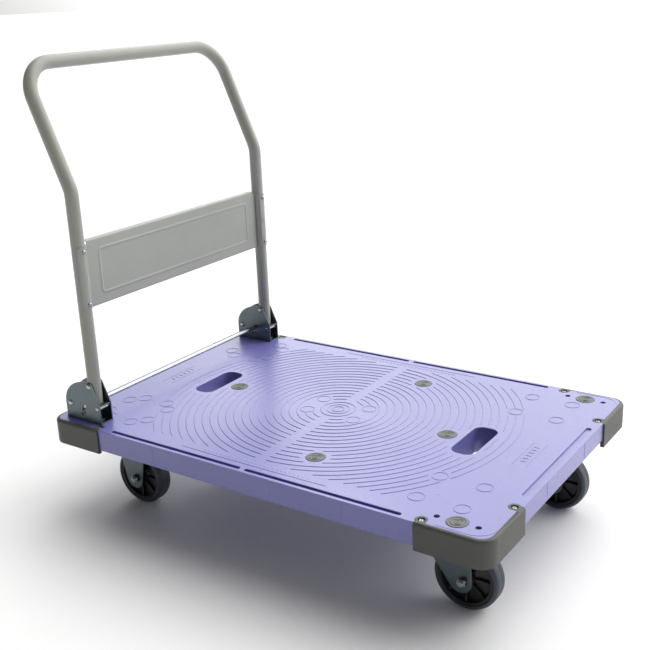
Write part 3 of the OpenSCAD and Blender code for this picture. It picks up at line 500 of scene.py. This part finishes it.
def handle_panel():
    """The pressed sheet: a flat web with a raised frame, folded lips, and a saddle round each leg."""
    zs = list(np.linspace(SADDLE_Z0, SADDLE_Z1, 91))
    bm = bmesh.new()

    def sheet(rows):
        """Closes a sheet of thickness PANEL_WALL from rows of (front point, back point)."""
        front = add_grid(bm, [[f for f, _ in row] for row in rows])
        back = add_grid(bm, [[b for _, b in row] for row in rows])
        n, m = len(rows), len(rows[0])
        for i in range(n - 1):
            for k in (0, m - 1):
                bm.faces.new((front[i][k], front[i + 1][k], back[i + 1][k], back[i][k]))
        return front, back

    # web, with the lips folded to the rear along a small radius
    r = 0.0030
    depth = 0.012

    def lip(z_edge, sign):
        """Points and normals of one lip, from the web to its free edge."""
        path = []
        for a in np.linspace(0, math.pi / 2, 8):
            path.append((Vector((PANEL_FRONT - r + r * math.cos(a), 0,
                                 z_edge - sign * (r - r * math.sin(a)))),
                         Vector((math.cos(a), 0, sign * math.sin(a)))))
        for s in np.linspace(0, depth - r, 4)[1:]:
            path.append((Vector((PANEL_FRONT - r - s, 0, z_edge)), Vector((0, 0, sign))))
        return path

    middle = [(Vector((PANEL_FRONT, 0, z)), Vector((1, 0, 0))) for z in zs]
    below = list(reversed(lip(PANEL_Z0, -1)))
    above = lip(PANEL_Z1, 1)
    section = below + middle + above
    ys = sorted(set(np.round(np.concatenate([
        np.linspace(-LIP_HALF, -0.205, 34), np.linspace(-0.205, 0.205, 61),
        np.linspace(0.205, LIP_HALF, 34)]), 6)))
    rows = []
    for y in ys:
        row = []
        for p, normal in section:
            lift = ridge_height(y, p.z) if normal.x > 0.999 else 0.0
            at = Vector((p.x + lift, y, p.z))
            row.append((at, at - normal * PANEL_WALL))
        rows.append(row)
    front, back = sheet(rows)
    for rows_end in (0, -1):
        f, b = front[rows_end], back[rows_end]
        covered = range(len(below), len(below) + len(middle) - 1)
        for k in range(len(f) - 1):
            if k not in covered:
                bm.faces.new((f[k], f[k + 1], b[k + 1], b[k]))

    # saddles, from the web's end round the front of each leg
    outer = SADDLE_R + PANEL_WALL
    start = math.acos(min(1.0, (PANEL_FRONT - PIVOT_X) / outer))
    wrap = math.radians(55)
    turns = np.linspace(-start, wrap, 60)
    corner = 0.007
    for side in (1, -1):
        line = []
        gap = LEG_Y - outer * math.sin(start) - LIP_HALF
        for s in np.linspace(0, gap, 6)[:-1]:
            line.append((Vector((PANEL_FRONT, LIP_HALF + s, 0)), Vector((1, 0, 0)), s - gap))
        for a in turns:
            normal = Vector((math.cos(a), math.sin(a), 0))
            at = Vector((PIVOT_X, LEG_Y, 0)) + normal * outer
            line.append((at, normal, outer * (a + start)))
        end_u = line[-1][2]
        rows = []
        for at, normal, u in line:
            near_end = max(0.0, corner - (end_u - u))
            inset = corner - math.sqrt(max(0.0, corner ** 2 - near_end ** 2))
            row = []
            for z in zs:
                zz = SADDLE_Z0 + inset + (z - SADDLE_Z0) * (
                    (SADDLE_Z1 - SADDLE_Z0 - 2 * inset) / (SADDLE_Z1 - SADDLE_Z0))
                lift = bead_height(u, zz)
                p = Vector((at.x, at.y * side, zz))
                nn = Vector((normal.x, normal.y * side, 0))
                row.append((p + nn * lift, p - nn * PANEL_WALL))
            rows.append(row)
        front, back = sheet(rows)
        f, b = front[-1], back[-1]
        for k in range(len(f) - 1):
            bm.faces.new((f[k], f[k + 1], b[k + 1], b[k]))
    piece("handle_panel_pressed", bm, "panel_paint", "handle", 50.0, ("handle_panel",))

    bm = bmesh.new()
    for side in (1, -1):
        for z in (0.430, 0.529):
            at = Vector((PIVOT_X + outer + 0.0002, side * LEG_Y, z))
            lathe(bm, [(0, 0.0014), (0.0012, 0.0013), (0.0016, 0.0022), (0.0030, 0.0019),
                       (0.0039, 0.0008), (0.0040, 0.0), (0.0018, 0.0), (0.0018, -0.013), (0, -0.013)],
                  along((1, 0, 0), at), 40)
    piece("panel_screws_domed", bm, "bright_steel", "handle", 40.0, ("panel_screws",))


# --------------------------------------------------------------------- deck

RING_PITCH = 0.01507
RING_FIRST = 0.004
RINGS_OUT = 24
RING_WIDTH = 0.0022
RING_HEIGHT = 0.0008
PADS = [(0.234, 0.0), (-0.242, 0.0), (0.080, 0.193), (0.080, -0.193), (0.38975, 0.269), (0.38975, -0.269)]
HAND_HOLES = (0.288, -0.296)


def circle_marks():
    """Centres of the shallow round marks on the deck, in the deck's own frame."""
    marks = []
    for side in (1, -1):
        for dx in (-0.040, 0.040):
            for dy in (-0.040, 0.040):
                marks.append((0.3387 + dx, side * 0.1905 + dy))
        for dx, dy in ((0.051, 0.028), (0.0285, 0.050)):
            for sx in (1, -1):
                for sy in (1, -1):
                    marks.append((-0.343 + sx * dx, side * 0.191 + sy * dy))
    marks += [(sx * 0.052, sy * 0.029) for sx in (1, -1) for sy in (1, -1)]
    return marks


MARKS = circle_marks()


def on_plain_deck(x, y):
    """Whether a ring ridge may stand here."""
    if abs(y) > 0.252 or not -0.372 < x < 0.362:
        return False
    for px, py in PADS:
        if math.hypot(x - px, y - py) < 0.0245:
            return False
    for hx in HAND_HOLES:
        if rounded_box_distance(x - hx, y, 0.031, 0.068, 0.024) < 0:
            return False
    for mx, my in MARKS:
        if math.hypot(x - mx, y - my) < 0.0175:
            return False
    if math.hypot(x, y) > 0.04 and abs(x) < 0.008:
        return False
    return not (math.hypot(x, y) > 0.04 and abs(y) < 0.006)


def ridge(bm, points, width, height, taper=0.004, closed=False, sink=0.0002):
    """A low rounded bead that lies on the deck along a line of (x, y) points."""
    shape = [(-0.5, 0.0), (-0.36, 0.55), (-0.14, 0.95), (0.14, 0.95), (0.36, 0.55), (0.5, 0.0)]
    n = len(points)
    run = [0.0]
    for a, b in zip(points, points[1:]):
        run.append(run[-1] + math.hypot(b[0] - a[0], b[1] - a[1]))
    rows = []
    for i, (x, y) in enumerate(points):
        if closed:
            a, b = points[i - 1], points[(i + 1) % n]
        else:
            a, b = points[max(i - 1, 0)], points[min(i + 1, n - 1)]
        dx, dy = b[0] - a[0], b[1] - a[1]
        d = math.hypot(dx, dy) or 1.0
        nx, ny = -dy / d, dx / d
        grow = 1.0
        if not closed:
            s = min(run[i], run[-1] - run[i]) / taper
            grow = 0.15 + 0.85 * min(1.0, math.sqrt(max(0.0, s)))
        rows.append([Vector((DECK_SHIFT + x + nx * w * width * grow, y + ny * w * width * grow,
                             DECK_TOP - sink + (h * height + (sink if h else 0)) * (grow if h else 1)))
                     for w, h in shape])
    verts = add_grid(bm, rows, close_rows=closed)
    count = n if closed else n - 1
    for i in range(count):
        a, b = verts[i], verts[(i + 1) % n]
        bm.faces.new((a[0], b[0], b[-1], a[-1]))
    if not closed:
        cap(bm, verts[0])
        cap(bm, list(reversed(verts[-1])))


def ring_ridges():
    """Rings round the deck's middle, broken where something else is, and dots where they end."""
    bm = bmesh.new()
    inner = [0.0115, 0.0215, 0.0335]
    radii = inner + [RING_FIRST + RING_PITCH * k for k in range(3, RINGS_OUT)]
    dots = []
    for radius in radii:
        count = max(48, int(2 * math.pi * radius / 0.0024))
        points = [(radius * math.cos(2 * math.pi * i / count), radius * math.sin(2 * math.pi * i / count))
                  for i in range(count)]
        open_at = [on_plain_deck(*p) for p in points]
        if all(open_at):
            ridge(bm, points, RING_WIDTH, RING_HEIGHT, closed=True)
            continue
        start = open_at.index(False)
        run = []
        for i in range(start, start + count + 1):
            p = points[i % count]
            if open_at[i % count]:
                run.append(p)
            else:
                if len(run) > 5:
                    ridge(bm, run, RING_WIDTH, RING_HEIGHT)
                run = []
        if radius > 0.07:
            for sx in (1, -1):
                for sy in (1, -1):
                    y = sy * 0.0035
                    x = sx * math.sqrt(radius * radius - y * y)
                    clear = all(math.hypot(x - px, y - py) > 0.024 for px, py in PADS)
                    clear = clear and all(rounded_box_distance(x - hx, y, 0.029, 0.066, 0.022) > 0
                                          for hx in HAND_HOLES)
                    if clear and abs(x) < 0.36:
                        dots.append((x, y))
    for x, y in dots:
        lathe(bm, [(0.0012, -0.0002), (0.0011, 0.0004), (0.0006, 0.0008), (0, 0.0009)],
              Matrix.Translation((DECK_SHIFT + x, y, DECK_TOP)), 10)
    piece("deck_ring_ridges", bm, "deck_resin", "cart", 60.0)


def deck_marks():
    """Round marks, plain bars at both ends, hatching by the long edges and lines along the rim."""
    bm = bmesh.new()
    for x, y in MARKS:
        points = [(x + 0.0135 * math.cos(a), y + 0.0135 * math.sin(a))
                  for a in np.linspace(0, 2 * math.pi, 49)[:-1]]
        ridge(bm, points, 0.0015, 0.0006, closed=True)
    for end in (1, -1):
        for x, y0, y1 in ((0.3810, -0.055, 0.047), (0.4050, -0.055, 0.047)):
            ridge(bm, [(end * x, y) for y in np.linspace(y0, y1, 24)], 0.0012, 0.0005)
        for k in range(6):
            y = -0.034 + 0.012 * k
            ridge(bm, [(end * x, y) for x in np.linspace(0.3865, 0.3995, 6)], 0.0030, 0.0006, 0.002)
    for side in (1, -1):
        for k in range(26):
            x = -0.110 + 0.0088 * k
            ridge(bm, [(x + 0.004 * t, side * (0.259 + 0.010 * t)) for t in np.linspace(0, 1, 5)],
                  0.0016, 0.0005, 0.002)
        edge = [(x, side * (0.2745 - 0.02 * (x / 0.2) ** 2 * 0.15)) for x in np.linspace(-0.16, 0.16, 40)]
        ridge(bm, edge, 0.0014, 0.0005)
    inset_x, inset_y, r = HALF_LENGTH - 0.0115, HALF_WIDTH - 0.0115, 0.034
    for sx in (1, -1):
        for sy in (1, -1):
            corner = [(sx * (inset_x - r + r * math.cos(a)), sy * (inset_y - r + r * math.sin(a)))
                      for a in np.linspace(0, math.pi / 2, 20)]
            line = [(sx * inset_x, sy * y) for y in np.linspace(0.205, inset_y - r, 14)[:-1]]
            line += corner
            line += [(sx * x, sy * inset_y) for x in np.linspace(inset_x - r, 0.362, 14)[1:]]
            ridge(bm, line, 0.0012, 0.0004)
    piece("deck_marks", bm, "deck_resin", "cart", 60.0)


def skirt_seams():
    """Thin parting ridges that cross the skirts, left by the mould's slides."""
    bm = bmesh.new()
    face_in = 0.003
    end_gap, top_gap = 0.0012, 0.0014
    profile = [(-0.0006, -0.0002), (-0.0003, 0.00035), (0.0003, 0.00035), (0.0006, -0.0002)]
    seams = [(x, side * (HALF_WIDTH - face_in), 0.041, 0, side) for x in (-0.203, 0.203) for side in (1, -1)]
    seams += [(DECK_MID + HALF_LENGTH - face_in, y, 0.034, 1, 0) for y in (-0.084, 0.084)]
    for x, y, drop, nx, ny in seams:
        rows = []
        for z in (DECK_TOP - drop + end_gap, DECK_TOP - top_gap):
            rows.append([Vector((DECK_SHIFT + x + nx * h + abs(ny) * w, y + ny * h + nx * w, z))
                         for w, h in profile])
        add_grid(bm, rows)
    piece("skirt_seams", bm, "deck_resin", "cart", 60.0)


def deck():
    same = 1e-5
    outline_band = 0.0036

    def lower_skirt(e):
        """The level lower edges of the skirts, close to the deck's outline."""
        a, b = e.verts[0].co, e.verts[1].co
        low = max(a.z, b.z) < LOW_EDGE_Z and abs(a.z - b.z) < same
        x = min(abs(a.x - DECK_SHIFT - DECK_MID), abs(b.x - DECK_SHIFT - DECK_MID))
        y = min(abs(a.y), abs(b.y))
        along_x = y > HALF_WIDTH - outline_band and abs(a.y - b.y) < same
        along_y = x > HALF_LENGTH - outline_band and abs(a.x - b.x) < same
        return low and (along_x or along_y)

    softened("deck", "deck_resin", "cart", 0.0010, 3, 40.0, lower_skirt)
    ring_ridges()
    deck_marks()
    skirt_seams()


def grip_pads():
    """Six rubber buttons with a rim and rings, each a little proud of the deck."""
    bm = bmesh.new()
    profile = [(0, 0.0006), (0.0022, 0.0006), (0.0026, 0.0002), (0.0034, 0.0002), (0.0038, 0.0007),
               (0.0058, 0.0007), (0.0062, 0.0002), (0.0072, 0.0002), (0.0076, 0.0007), (0.0112, 0.0008),
               (0.0117, 0.0002), (0.0130, 0.0002), (0.0135, 0.0008), (0.0160, 0.0009), (0.0171, 0.0006),
               (0.0175, -0.0002), (0.0175, -0.0040), (0, -0.0040)]
    for x, y in PADS:
        place = Matrix.Translation((DECK_SHIFT + x, y, DECK_TOP))
        lathe(bm, profile, place, 72)
        for k in range(3):
            a = 2 * math.pi * k / 3 + 0.4
            arc = [(x + 0.0094 * math.cos(a + t), y + 0.0094 * math.sin(a + t))
                   for t in np.linspace(0, 1.2, 10)]
            ridge(bm, arc, 0.0016, 0.0013, 0.001, sink=-0.0004)
    piece("grip_pads_moulded", bm, "pad_rubber", "cart", 36.0, ("grip_pads",))


# ------------------------------------------------------------------ bumpers

def bumpers():
    """Four corner bumpers and, in their tabs, eight screws along and across the corners."""
    from_end, from_edge = 0.1203, 0.0155
    seat_depth = 0.003
    for end in ("front", "rear"):
        for side in ("left", "right"):
            softened(f"bumper_{end}_{side}", "bumper_rubber", "cart", 0.0012, 3, 30.0,
                     lambda e: max(v.co.z for v in e.verts) < LOW_EDGE_Z)
    bm = bmesh.new()
    for ex in (1, -1):
        for sy in (1, -1):
            for x, y in ((HALF_LENGTH - from_end, HALF_WIDTH - from_edge),
                         (HALF_LENGTH - from_edge, HALF_WIDTH - from_end)):
                place = Matrix.Translation((DECK_SHIFT + DECK_MID + ex * x, sy * y, DECK_TOP - seat_depth))
                lathe(bm, [(0, 0.0011), (0.0012, 0.0010), (0.0018, 0.0021), (0.0032, 0.0020),
                           (0.0043, 0.0010), (0.0045, 0.0002), (0.0020, 0.0), (0.0020, -0.019),
                           (0, -0.0190)], place, 40)
    piece("bumper_screws_domed", bm, "bright_steel", "cart", 36.0, ("bumper_screws",))


# ----------------------------------------------------------------- brackets

def brackets():
    """Brackets with their rivets, stop pins, bolts and nuts, and the latch rod that joins them."""
    for side in ("left", "right"):
        softened(f"bracket_{side}", "zinc_steel", "cart", 0.00035, 2, 30.0)
    bm = bmesh.new()
    pins = bmesh.new()
    rivet_r, head_r, head = 0.004, 0.006, 0.0025
    pin_r, pin_gap = 0.0035, 0.0003
    # the stop pins stand at the front of the legs, as low as the latch rod
    pin_x, pin_z = PIVOT_X + (TUBE_R + pin_gap + pin_r), PIVOT_Z + ROD_Z
    for side in (1, -1):
        y = side * LEG_Y
        inside, outside = y - CHEEK_OUT, y + CHEEK_OUT
        for x, z in ((PIVOT_X, PIVOT_Z), (PIVOT_X - 0.056, DECK_TOP + 0.031)):
            for out in (1, -1):
                lathe(bm, [(0, head), (head_r * 0.45, head * 0.95), (head_r * 0.82, head * 0.62),
                           (head_r, head * 0.16), (head_r, 0), (0, 0)],
                      along((0, out, 0), (x, y + out * CHEEK_OUT, z)), 40)
            rod(bm, (x, inside, z), (x, outside, z), rivet_r)
        for out in (1, -1):
            lathe(pins, [(0, 0.001), (0.0030, 0.0009), (0.0040, 0.0004), (0.0040, 0), (0, 0)],
                  along((0, out, 0), (pin_x, y + out * CHEEK_OUT, pin_z)), 32)
        rod(pins, (pin_x, inside, pin_z), (pin_x, outside, pin_z), pin_r)
    piece("bracket_rivets_domed", bm, "bright_steel", "cart", 36.0, ("pivot_pins", "spacer_rivets"))
    piece("stop_pins_domed", pins, "bright_steel", "cart", 36.0, ("stop_pins",))
    bm = bmesh.new()
    nuts = bmesh.new()
    for side in (1, -1):
        for dx in (-0.050, 0.010):
            x, y = PIVOT_X + dx, side * LEG_Y
            hexagon(bm, 0.0070, 0.0050, Matrix.Translation((x, y, DECK_TOP + BRACKET_SHEET)), washer=0.0005)
            rod(bm, (x, y, DECK_TOP + 0.0025), (x, y, DECK_TOP - 0.0217), 0.004)
            hexagon(nuts, 0.0070, 0.0065, along((0, 0, -1), (x, y, DECK_TOP - 0.006)))
    piece("bracket_bolts_hex", bm, "bright_steel", "cart", 36.0, ("bracket_bolts",))
    piece("bracket_nuts_hex", nuts, "bright_steel", "cart", 36.0, ("bracket_nuts",))
    bm = bmesh.new()
    x, z = PIVOT_X + ROD_X, PIVOT_Z + ROD_Z
    rod(bm, (x, -LEG_Y - CHEEK_OUT, z), (x, LEG_Y + CHEEK_OUT, z), ROD_R, 0.0008, 56)
    piece("latch_rod_turned", bm, "bright_steel", "latch", 36.0, ("latch_rod",))


def latch_springs():
    """Bent wire springs in the slots."""
    tilt = math.atan2(-ROD_X, -ROD_Z)
    away = Vector((-math.sin(tilt), 0, -math.cos(tilt)))
    across = Vector((math.cos(tilt), 0, -math.sin(tilt)))
    wire, bend, bends = 0.0009, 0.003, 3
    rod_gap = 0.0003
    top = ROD_R + rod_gap + wire
    bm = bmesh.new()
    origin = Vector((PIVOT_X + ROD_X, 0, PIVOT_Z + ROD_Z))
    for side in (1, -1):
        for cheek in (1, -1):
            base = origin + Vector((0, side * LEG_Y + cheek * (CHEEK_OUT - BRACKET_SHEET / 2), 0))
            line = []
            for i in range(bends):
                centre = top + (2 * i + 1) * bend
                swing = 1 if i % 2 == 0 else -1
                for t in np.linspace(0, math.pi, 12)[:-1 if i < bends - 1 else None]:
                    line.append(base + away * (centre - bend * math.cos(t))
                                + across * (swing * bend * math.sin(t)))
            rings = sweep(line, wire, 12)
            verts = add_grid(bm, rings, close_columns=True)
            cap(bm, verts[0])
            cap(bm, list(reversed(verts[-1])))
    obj = piece("latch_springs_wire", bm, "bright_steel", "cart", 60.0, ("latch_springs",))
    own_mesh(obj)


# ------------------------------------------------------------------ casters

def tyre_profile():
    """Section of a tyre as (radius, height) about the wheel plane, with a crown and mould lines."""
    half = WHEEL_W / 2
    points = [(HUB_R, -half + 0.0012), (HUB_R + 0.0012, -half)]
    shoulder = 0.0075
    for a in np.linspace(-math.pi / 2, 0, 14):
        points.append((WHEEL_R - shoulder + shoulder * math.cos(a) - 0.0003,
                       -half + shoulder + shoulder * math.sin(a)))
    points += [(WHEEL_R - 0.0001, -0.0055), (WHEEL_R, -0.0022), (WHEEL_R - 0.0004, -0.0014),
               (WHEEL_R - 0.0004, 0.0014), (WHEEL_R, 0.0022), (WHEEL_R - 0.0001, 0.0055)]
    for a in np.linspace(0, math.pi / 2, 14):
        points.append((WHEEL_R - shoulder + shoulder * math.cos(a) - 0.0003,
                       half - shoulder + shoulder * math.sin(a)))
    points += [(HUB_R + 0.0012, half), (HUB_R, half - 0.0012)]
    return points


def hub_profile():
    """Section of the hub: rim, thin web, boss and bore."""
    half = WHEEL_W / 2 - 0.0015
    rim, boss, bore, length = 0.0435, 0.015, 0.00805, SLEEVE_HALF
    side = [(HUB_R, half - 0.0006), (HUB_R - 0.0006, half), (rim + 0.0006, half), (rim, half - 0.0008),
            (rim - 0.0010, 0.0062), (rim - 0.0026, 0.0047), (boss + 0.0040, 0.0045), (boss + 0.0012, 0.0062),
            (boss, 0.0080), (boss, length - 0.0008), (boss - 0.0008, length), (bore + 0.0004, length),
            (bore, length - 0.0004)]
    return side + [(r, -h) for r, h in reversed(side)]


def wheel(kind, side, x):
    """A tyre and a hub with eight ribs on each face."""
    y = TRACK_Y if side == "left" else -TRACK_Y
    body = f"{kind}_wheel_{side}"
    place = along((0, 1, 0), (x, y, AXLE_Z))
    bm = bmesh.new()
    lathe(bm, tyre_profile(), place, 128, closed=True)
    piece(f"{kind}_tyre_{side}_crowned", bm, "tyre_rubber", body, 50.0, (f"{kind}_tyre_{side}",))
    bm = bmesh.new()
    lathe(bm, hub_profile(), place, 128, closed=True)
    for i in range(8):
        turn = place @ Matrix.Rotation(2 * math.pi * i / 8, 4, "Z")
        for face in (1, -1):
            rows = []
            for r in np.linspace(0.0140, 0.0438, 9):
                top = 0.0120 - 0.0022 * math.sin(math.pi * (r - 0.014) / 0.03)
                rows.append([turn @ Vector((r, w, face * h)) for w, h in (
                    (-0.0015, 0.0040), (-0.0015, top - 0.0005), (-0.0010, top), (0.0010, top),
                    (0.0015, top - 0.0005), (0.0015, 0.0040))])
            verts = add_grid(bm, rows, close_columns=True)
            cap(bm, verts[0])
            cap(bm, list(reversed(verts[-1])))
    piece(f"{kind}_hub_{side}_ribbed", bm, "hub_nylon", body, 36.0, (f"{kind}_hub_{side}",))


def axle(kind, side, x, body):
    """A sleeve between the fork's legs, a hexagon bolt through it and a lock nut with a rolled collar."""
    out = 1 if side == "left" else -1
    y = TRACK_Y * out
    bolt_r, bore, corner_r, turn = 0.005, 0.00505, 0.00875, 0.52
    bm = bmesh.new()
    place = along((0, out, 0), (x, y, AXLE_Z))
    outer, edge = 0.0080, SLEEVE_HALF - 0.0003
    lathe(bm, [(bore, -SLEEVE_HALF), (0.0079, -SLEEVE_HALF), (outer, -edge), (outer, edge),
               (0.0079, SLEEVE_HALF), (bore, SLEEVE_HALF)], place, 48, closed=True)
    piece(f"{kind}_sleeve_{side}_turned", bm, "bright_steel", body, 36.0, (f"{kind}_sleeve_{side}",))
    bm = bmesh.new()
    head = along((0, -out, 0), (x, y - out * LEG_OUTER, AXLE_Z))
    hexagon(bm, corner_r, 0.0065, head, washer=0.0005, turn=turn)
    start, end = y - out * (LEG_OUTER + 0.001), y + out * (LEG_OUTER + 0.011)
    rod(bm, (x, start, AXLE_Z), (x, end, AXLE_Z), bolt_r, 0.0008)
    piece(f"{kind}_axle_{side}_bolt", bm, "bright_steel", body, 36.0, (f"{kind}_axle_{side}",))
    bm = bmesh.new()
    flat_r = corner_r * math.cos(math.pi / 6)
    seat = along((0, out, 0), (x, y + out * LEG_OUTER, AXLE_Z))
    rows = []
    for i in range(72):
        a = 2 * math.pi * i / 72
        r = flat_r / math.cos((a % (math.pi / 3)) - math.pi / 6)
        low = (r - flat_r * 0.93) * 0.5
        c, s = math.cos(a + turn), math.sin(a + turn)
        rows.append([seat @ Vector((q * c, q * s, z)) for q, z in (
            (bore, 0.0), (flat_r * 0.93, 0.0), (r, low), (r, 0.0066 - low), (0.0073, 0.0072),
            (0.0073, 0.0082), (0.0066, 0.0090), (0.0056, 0.0090), (bore, 0.0085))])
    add_grid(bm, rows, close_rows=True, close_columns=True)
    piece(f"{kind}_nut_{side}_lock", bm, "bright_steel", body, 36.0, (f"{kind}_nut_{side}",))


def casters():
    for side in ("left", "right"):
        wheel("fixed", side, FIXED_X)
        wheel("swivel", side, SWIVEL_AXLE_X)
        axle("fixed", side, FIXED_X, "cart")
        axle("swivel", side, SWIVEL_AXLE_X, f"swivel_{side}")
        softened(f"fixed_fork_{side}", "zinc_steel", "cart", 0.0007, 2, 30.0)
        softened(f"swivel_fork_{side}", "zinc_steel", f"swivel_{side}", 0.0007, 2, 30.0)
        softened(f"swivel_plate_{side}", "zinc_steel", "cart", 0.0006, 2, 30.0)
        carried(f"swivel_balls_{side}", "bright_steel")
        carried(f"kingpin_{side}", "bright_steel")
    carried("caster_inserts", "insert_brass")
    bm = bmesh.new()
    spots = []
    for side in (1, -1):
        spots += [(FIXED_X + sx * 0.051, side * TRACK_Y + sy * 0.028) for sx in (1, -1) for sy in (1, -1)]
        spots += [(SWIVEL_X + sx * 0.040, side * TRACK_Y + sy * 0.040) for sx in (1, -1) for sy in (1, -1)]
    for x, y in spots:
        hexagon(bm, 0.0075, 0.0055, along((0, 0, -1), (x, y, 0.148)), washer=0.0005)
        rod(bm, (x, y, 0.1475), (x, y, 0.174), 0.004)
    piece("caster_bolts_hex", bm, "bright_steel", "cart", 36.0, ("caster_bolts",))


handle_tube()
handle_panel()
deck()
grip_pads()
bumpers()
brackets()
latch_springs()
casters()


# ------------------------------------------------- floor, light and camera

def studio():
    floor_mesh = bpy.data.meshes.new("floor")
    reach = 90.0
    floor_mesh.from_pydata([(-reach, -reach, 0), (reach, -reach, 0), (reach, reach, 0), (-reach, reach, 0)],
                           [], [(0, 1, 2, 3)])
    floor = bpy.data.objects.new("floor", floor_mesh)
    bpy.context.scene.collection.objects.link(floor)
    n = Nodes("Pale floor")
    colour = n.mix(n.ramp(n.noise(3.0), 0.3, 0.7), (0.88, 0.88, 0.88, 1), (0.90, 0.90, 0.90, 1))
    floor_mesh.materials.append(n.finish(colour, n.ramp(n.noise(9.0), 0.3, 0.7, 0.75, 0.85), None, 0.0))

    world = bpy.data.worlds.new("Studio")
    world.use_nodes = True
    tree = world.node_tree
    back = tree.nodes["Background"]
    back.inputs["Color"].default_value = (1.0, 1.0, 0.985, 1)
    # the background brightens from the far side of the world to LIGHT_SIDE
    dim, bright = 0.17, 2.3
    coord = tree.nodes.new("ShaderNodeTexCoord")
    toward = tree.nodes.new("ShaderNodeVectorMath")
    toward.operation = "DOT_PRODUCT"
    toward.inputs[1].default_value = LIGHT_SIDE
    ramp = tree.nodes.new("ShaderNodeMapRange")
    ramp.interpolation_type = "SMOOTHSTEP"
    for key, value in (("From Min", 0.15), ("From Max", 1.02), ("To Min", dim), ("To Max", bright)):
        ramp.inputs[key].default_value = value
    tree.links.new(coord.outputs["Generated"], toward.inputs[0])
    tree.links.new(toward.outputs["Value"], ramp.inputs["Value"])
    tree.links.new(ramp.outputs[0], back.inputs["Strength"])
    bpy.context.scene.world = world

    def area(name, at, to, size, power, colour=(1, 1, 1)):
        light = bpy.data.lights.new(name, "AREA")
        light.shape = "RECTANGLE"
        light.size, light.size_y = size
        light.energy = power
        light.color = colour
        obj = bpy.data.objects.new(name, light)
        bpy.context.scene.collection.objects.link(obj)
        obj.location = at
        obj.rotation_mode = "QUATERNION"
        obj.rotation_quaternion = (Vector(to) - Vector(at)).to_track_quat("-Z", "Y")

    sun = bpy.data.lights.new("soft sun", "SUN")
    sun.angle = math.radians(60)
    sun.energy = 1.2
    overhead = bpy.data.objects.new("soft sun", sun)
    bpy.context.scene.collection.objects.link(overhead)
    overhead.rotation_mode = "QUATERNION"
    overhead.rotation_quaternion = Vector((0.22, 0.45, 0.86)).to_track_quat("Z", "Y")
    area("key", (2.0, 1.6, 1.7), (0.15, 0, 0.2), (1.4, 1.0), 8)
    area("rim", (-1.6, 1.9, 2.0), (-0.2, 0, 0.4), (1.0, 1.6), 6)


def photo_camera():
    """The camera that the photo was taken with, as solved from the deck's marks and the bumpers."""
    azimuth, elevation, roll = math.radians(35.11), math.radians(18.46), math.radians(-2.51)
    view = Vector((-math.sin(azimuth) * math.cos(elevation), math.cos(azimuth) * math.cos(elevation),
                   -math.sin(elevation)))
    right = view.cross(Vector((0, 0, 1))).normalized()
    up = right.cross(view)
    x_axis = right * math.cos(roll) + up * math.sin(roll)
    y_axis = up * math.cos(roll) - right * math.sin(roll)
    turn = Matrix((x_axis, y_axis, -view)).transposed()
    data = bpy.data.cameras.new("photo_camera")
    data.sensor_width = 36.0
    data.lens = 55.2168
    data.shift_x = 0.00963
    data.clip_start, data.clip_end = 0.05, 200
    camera = bpy.data.objects.new("photo_camera", data)
    bpy.context.scene.collection.objects.link(camera)
    camera.matrix_world = Matrix.Translation((0.98984 + DECK_SHIFT, -1.46062, 0.95686)) @ turn.to_4x4()
    bpy.context.scene.camera = camera


studio()
photo_camera()
bpy.context.scene.view_settings.view_transform = "Standard"
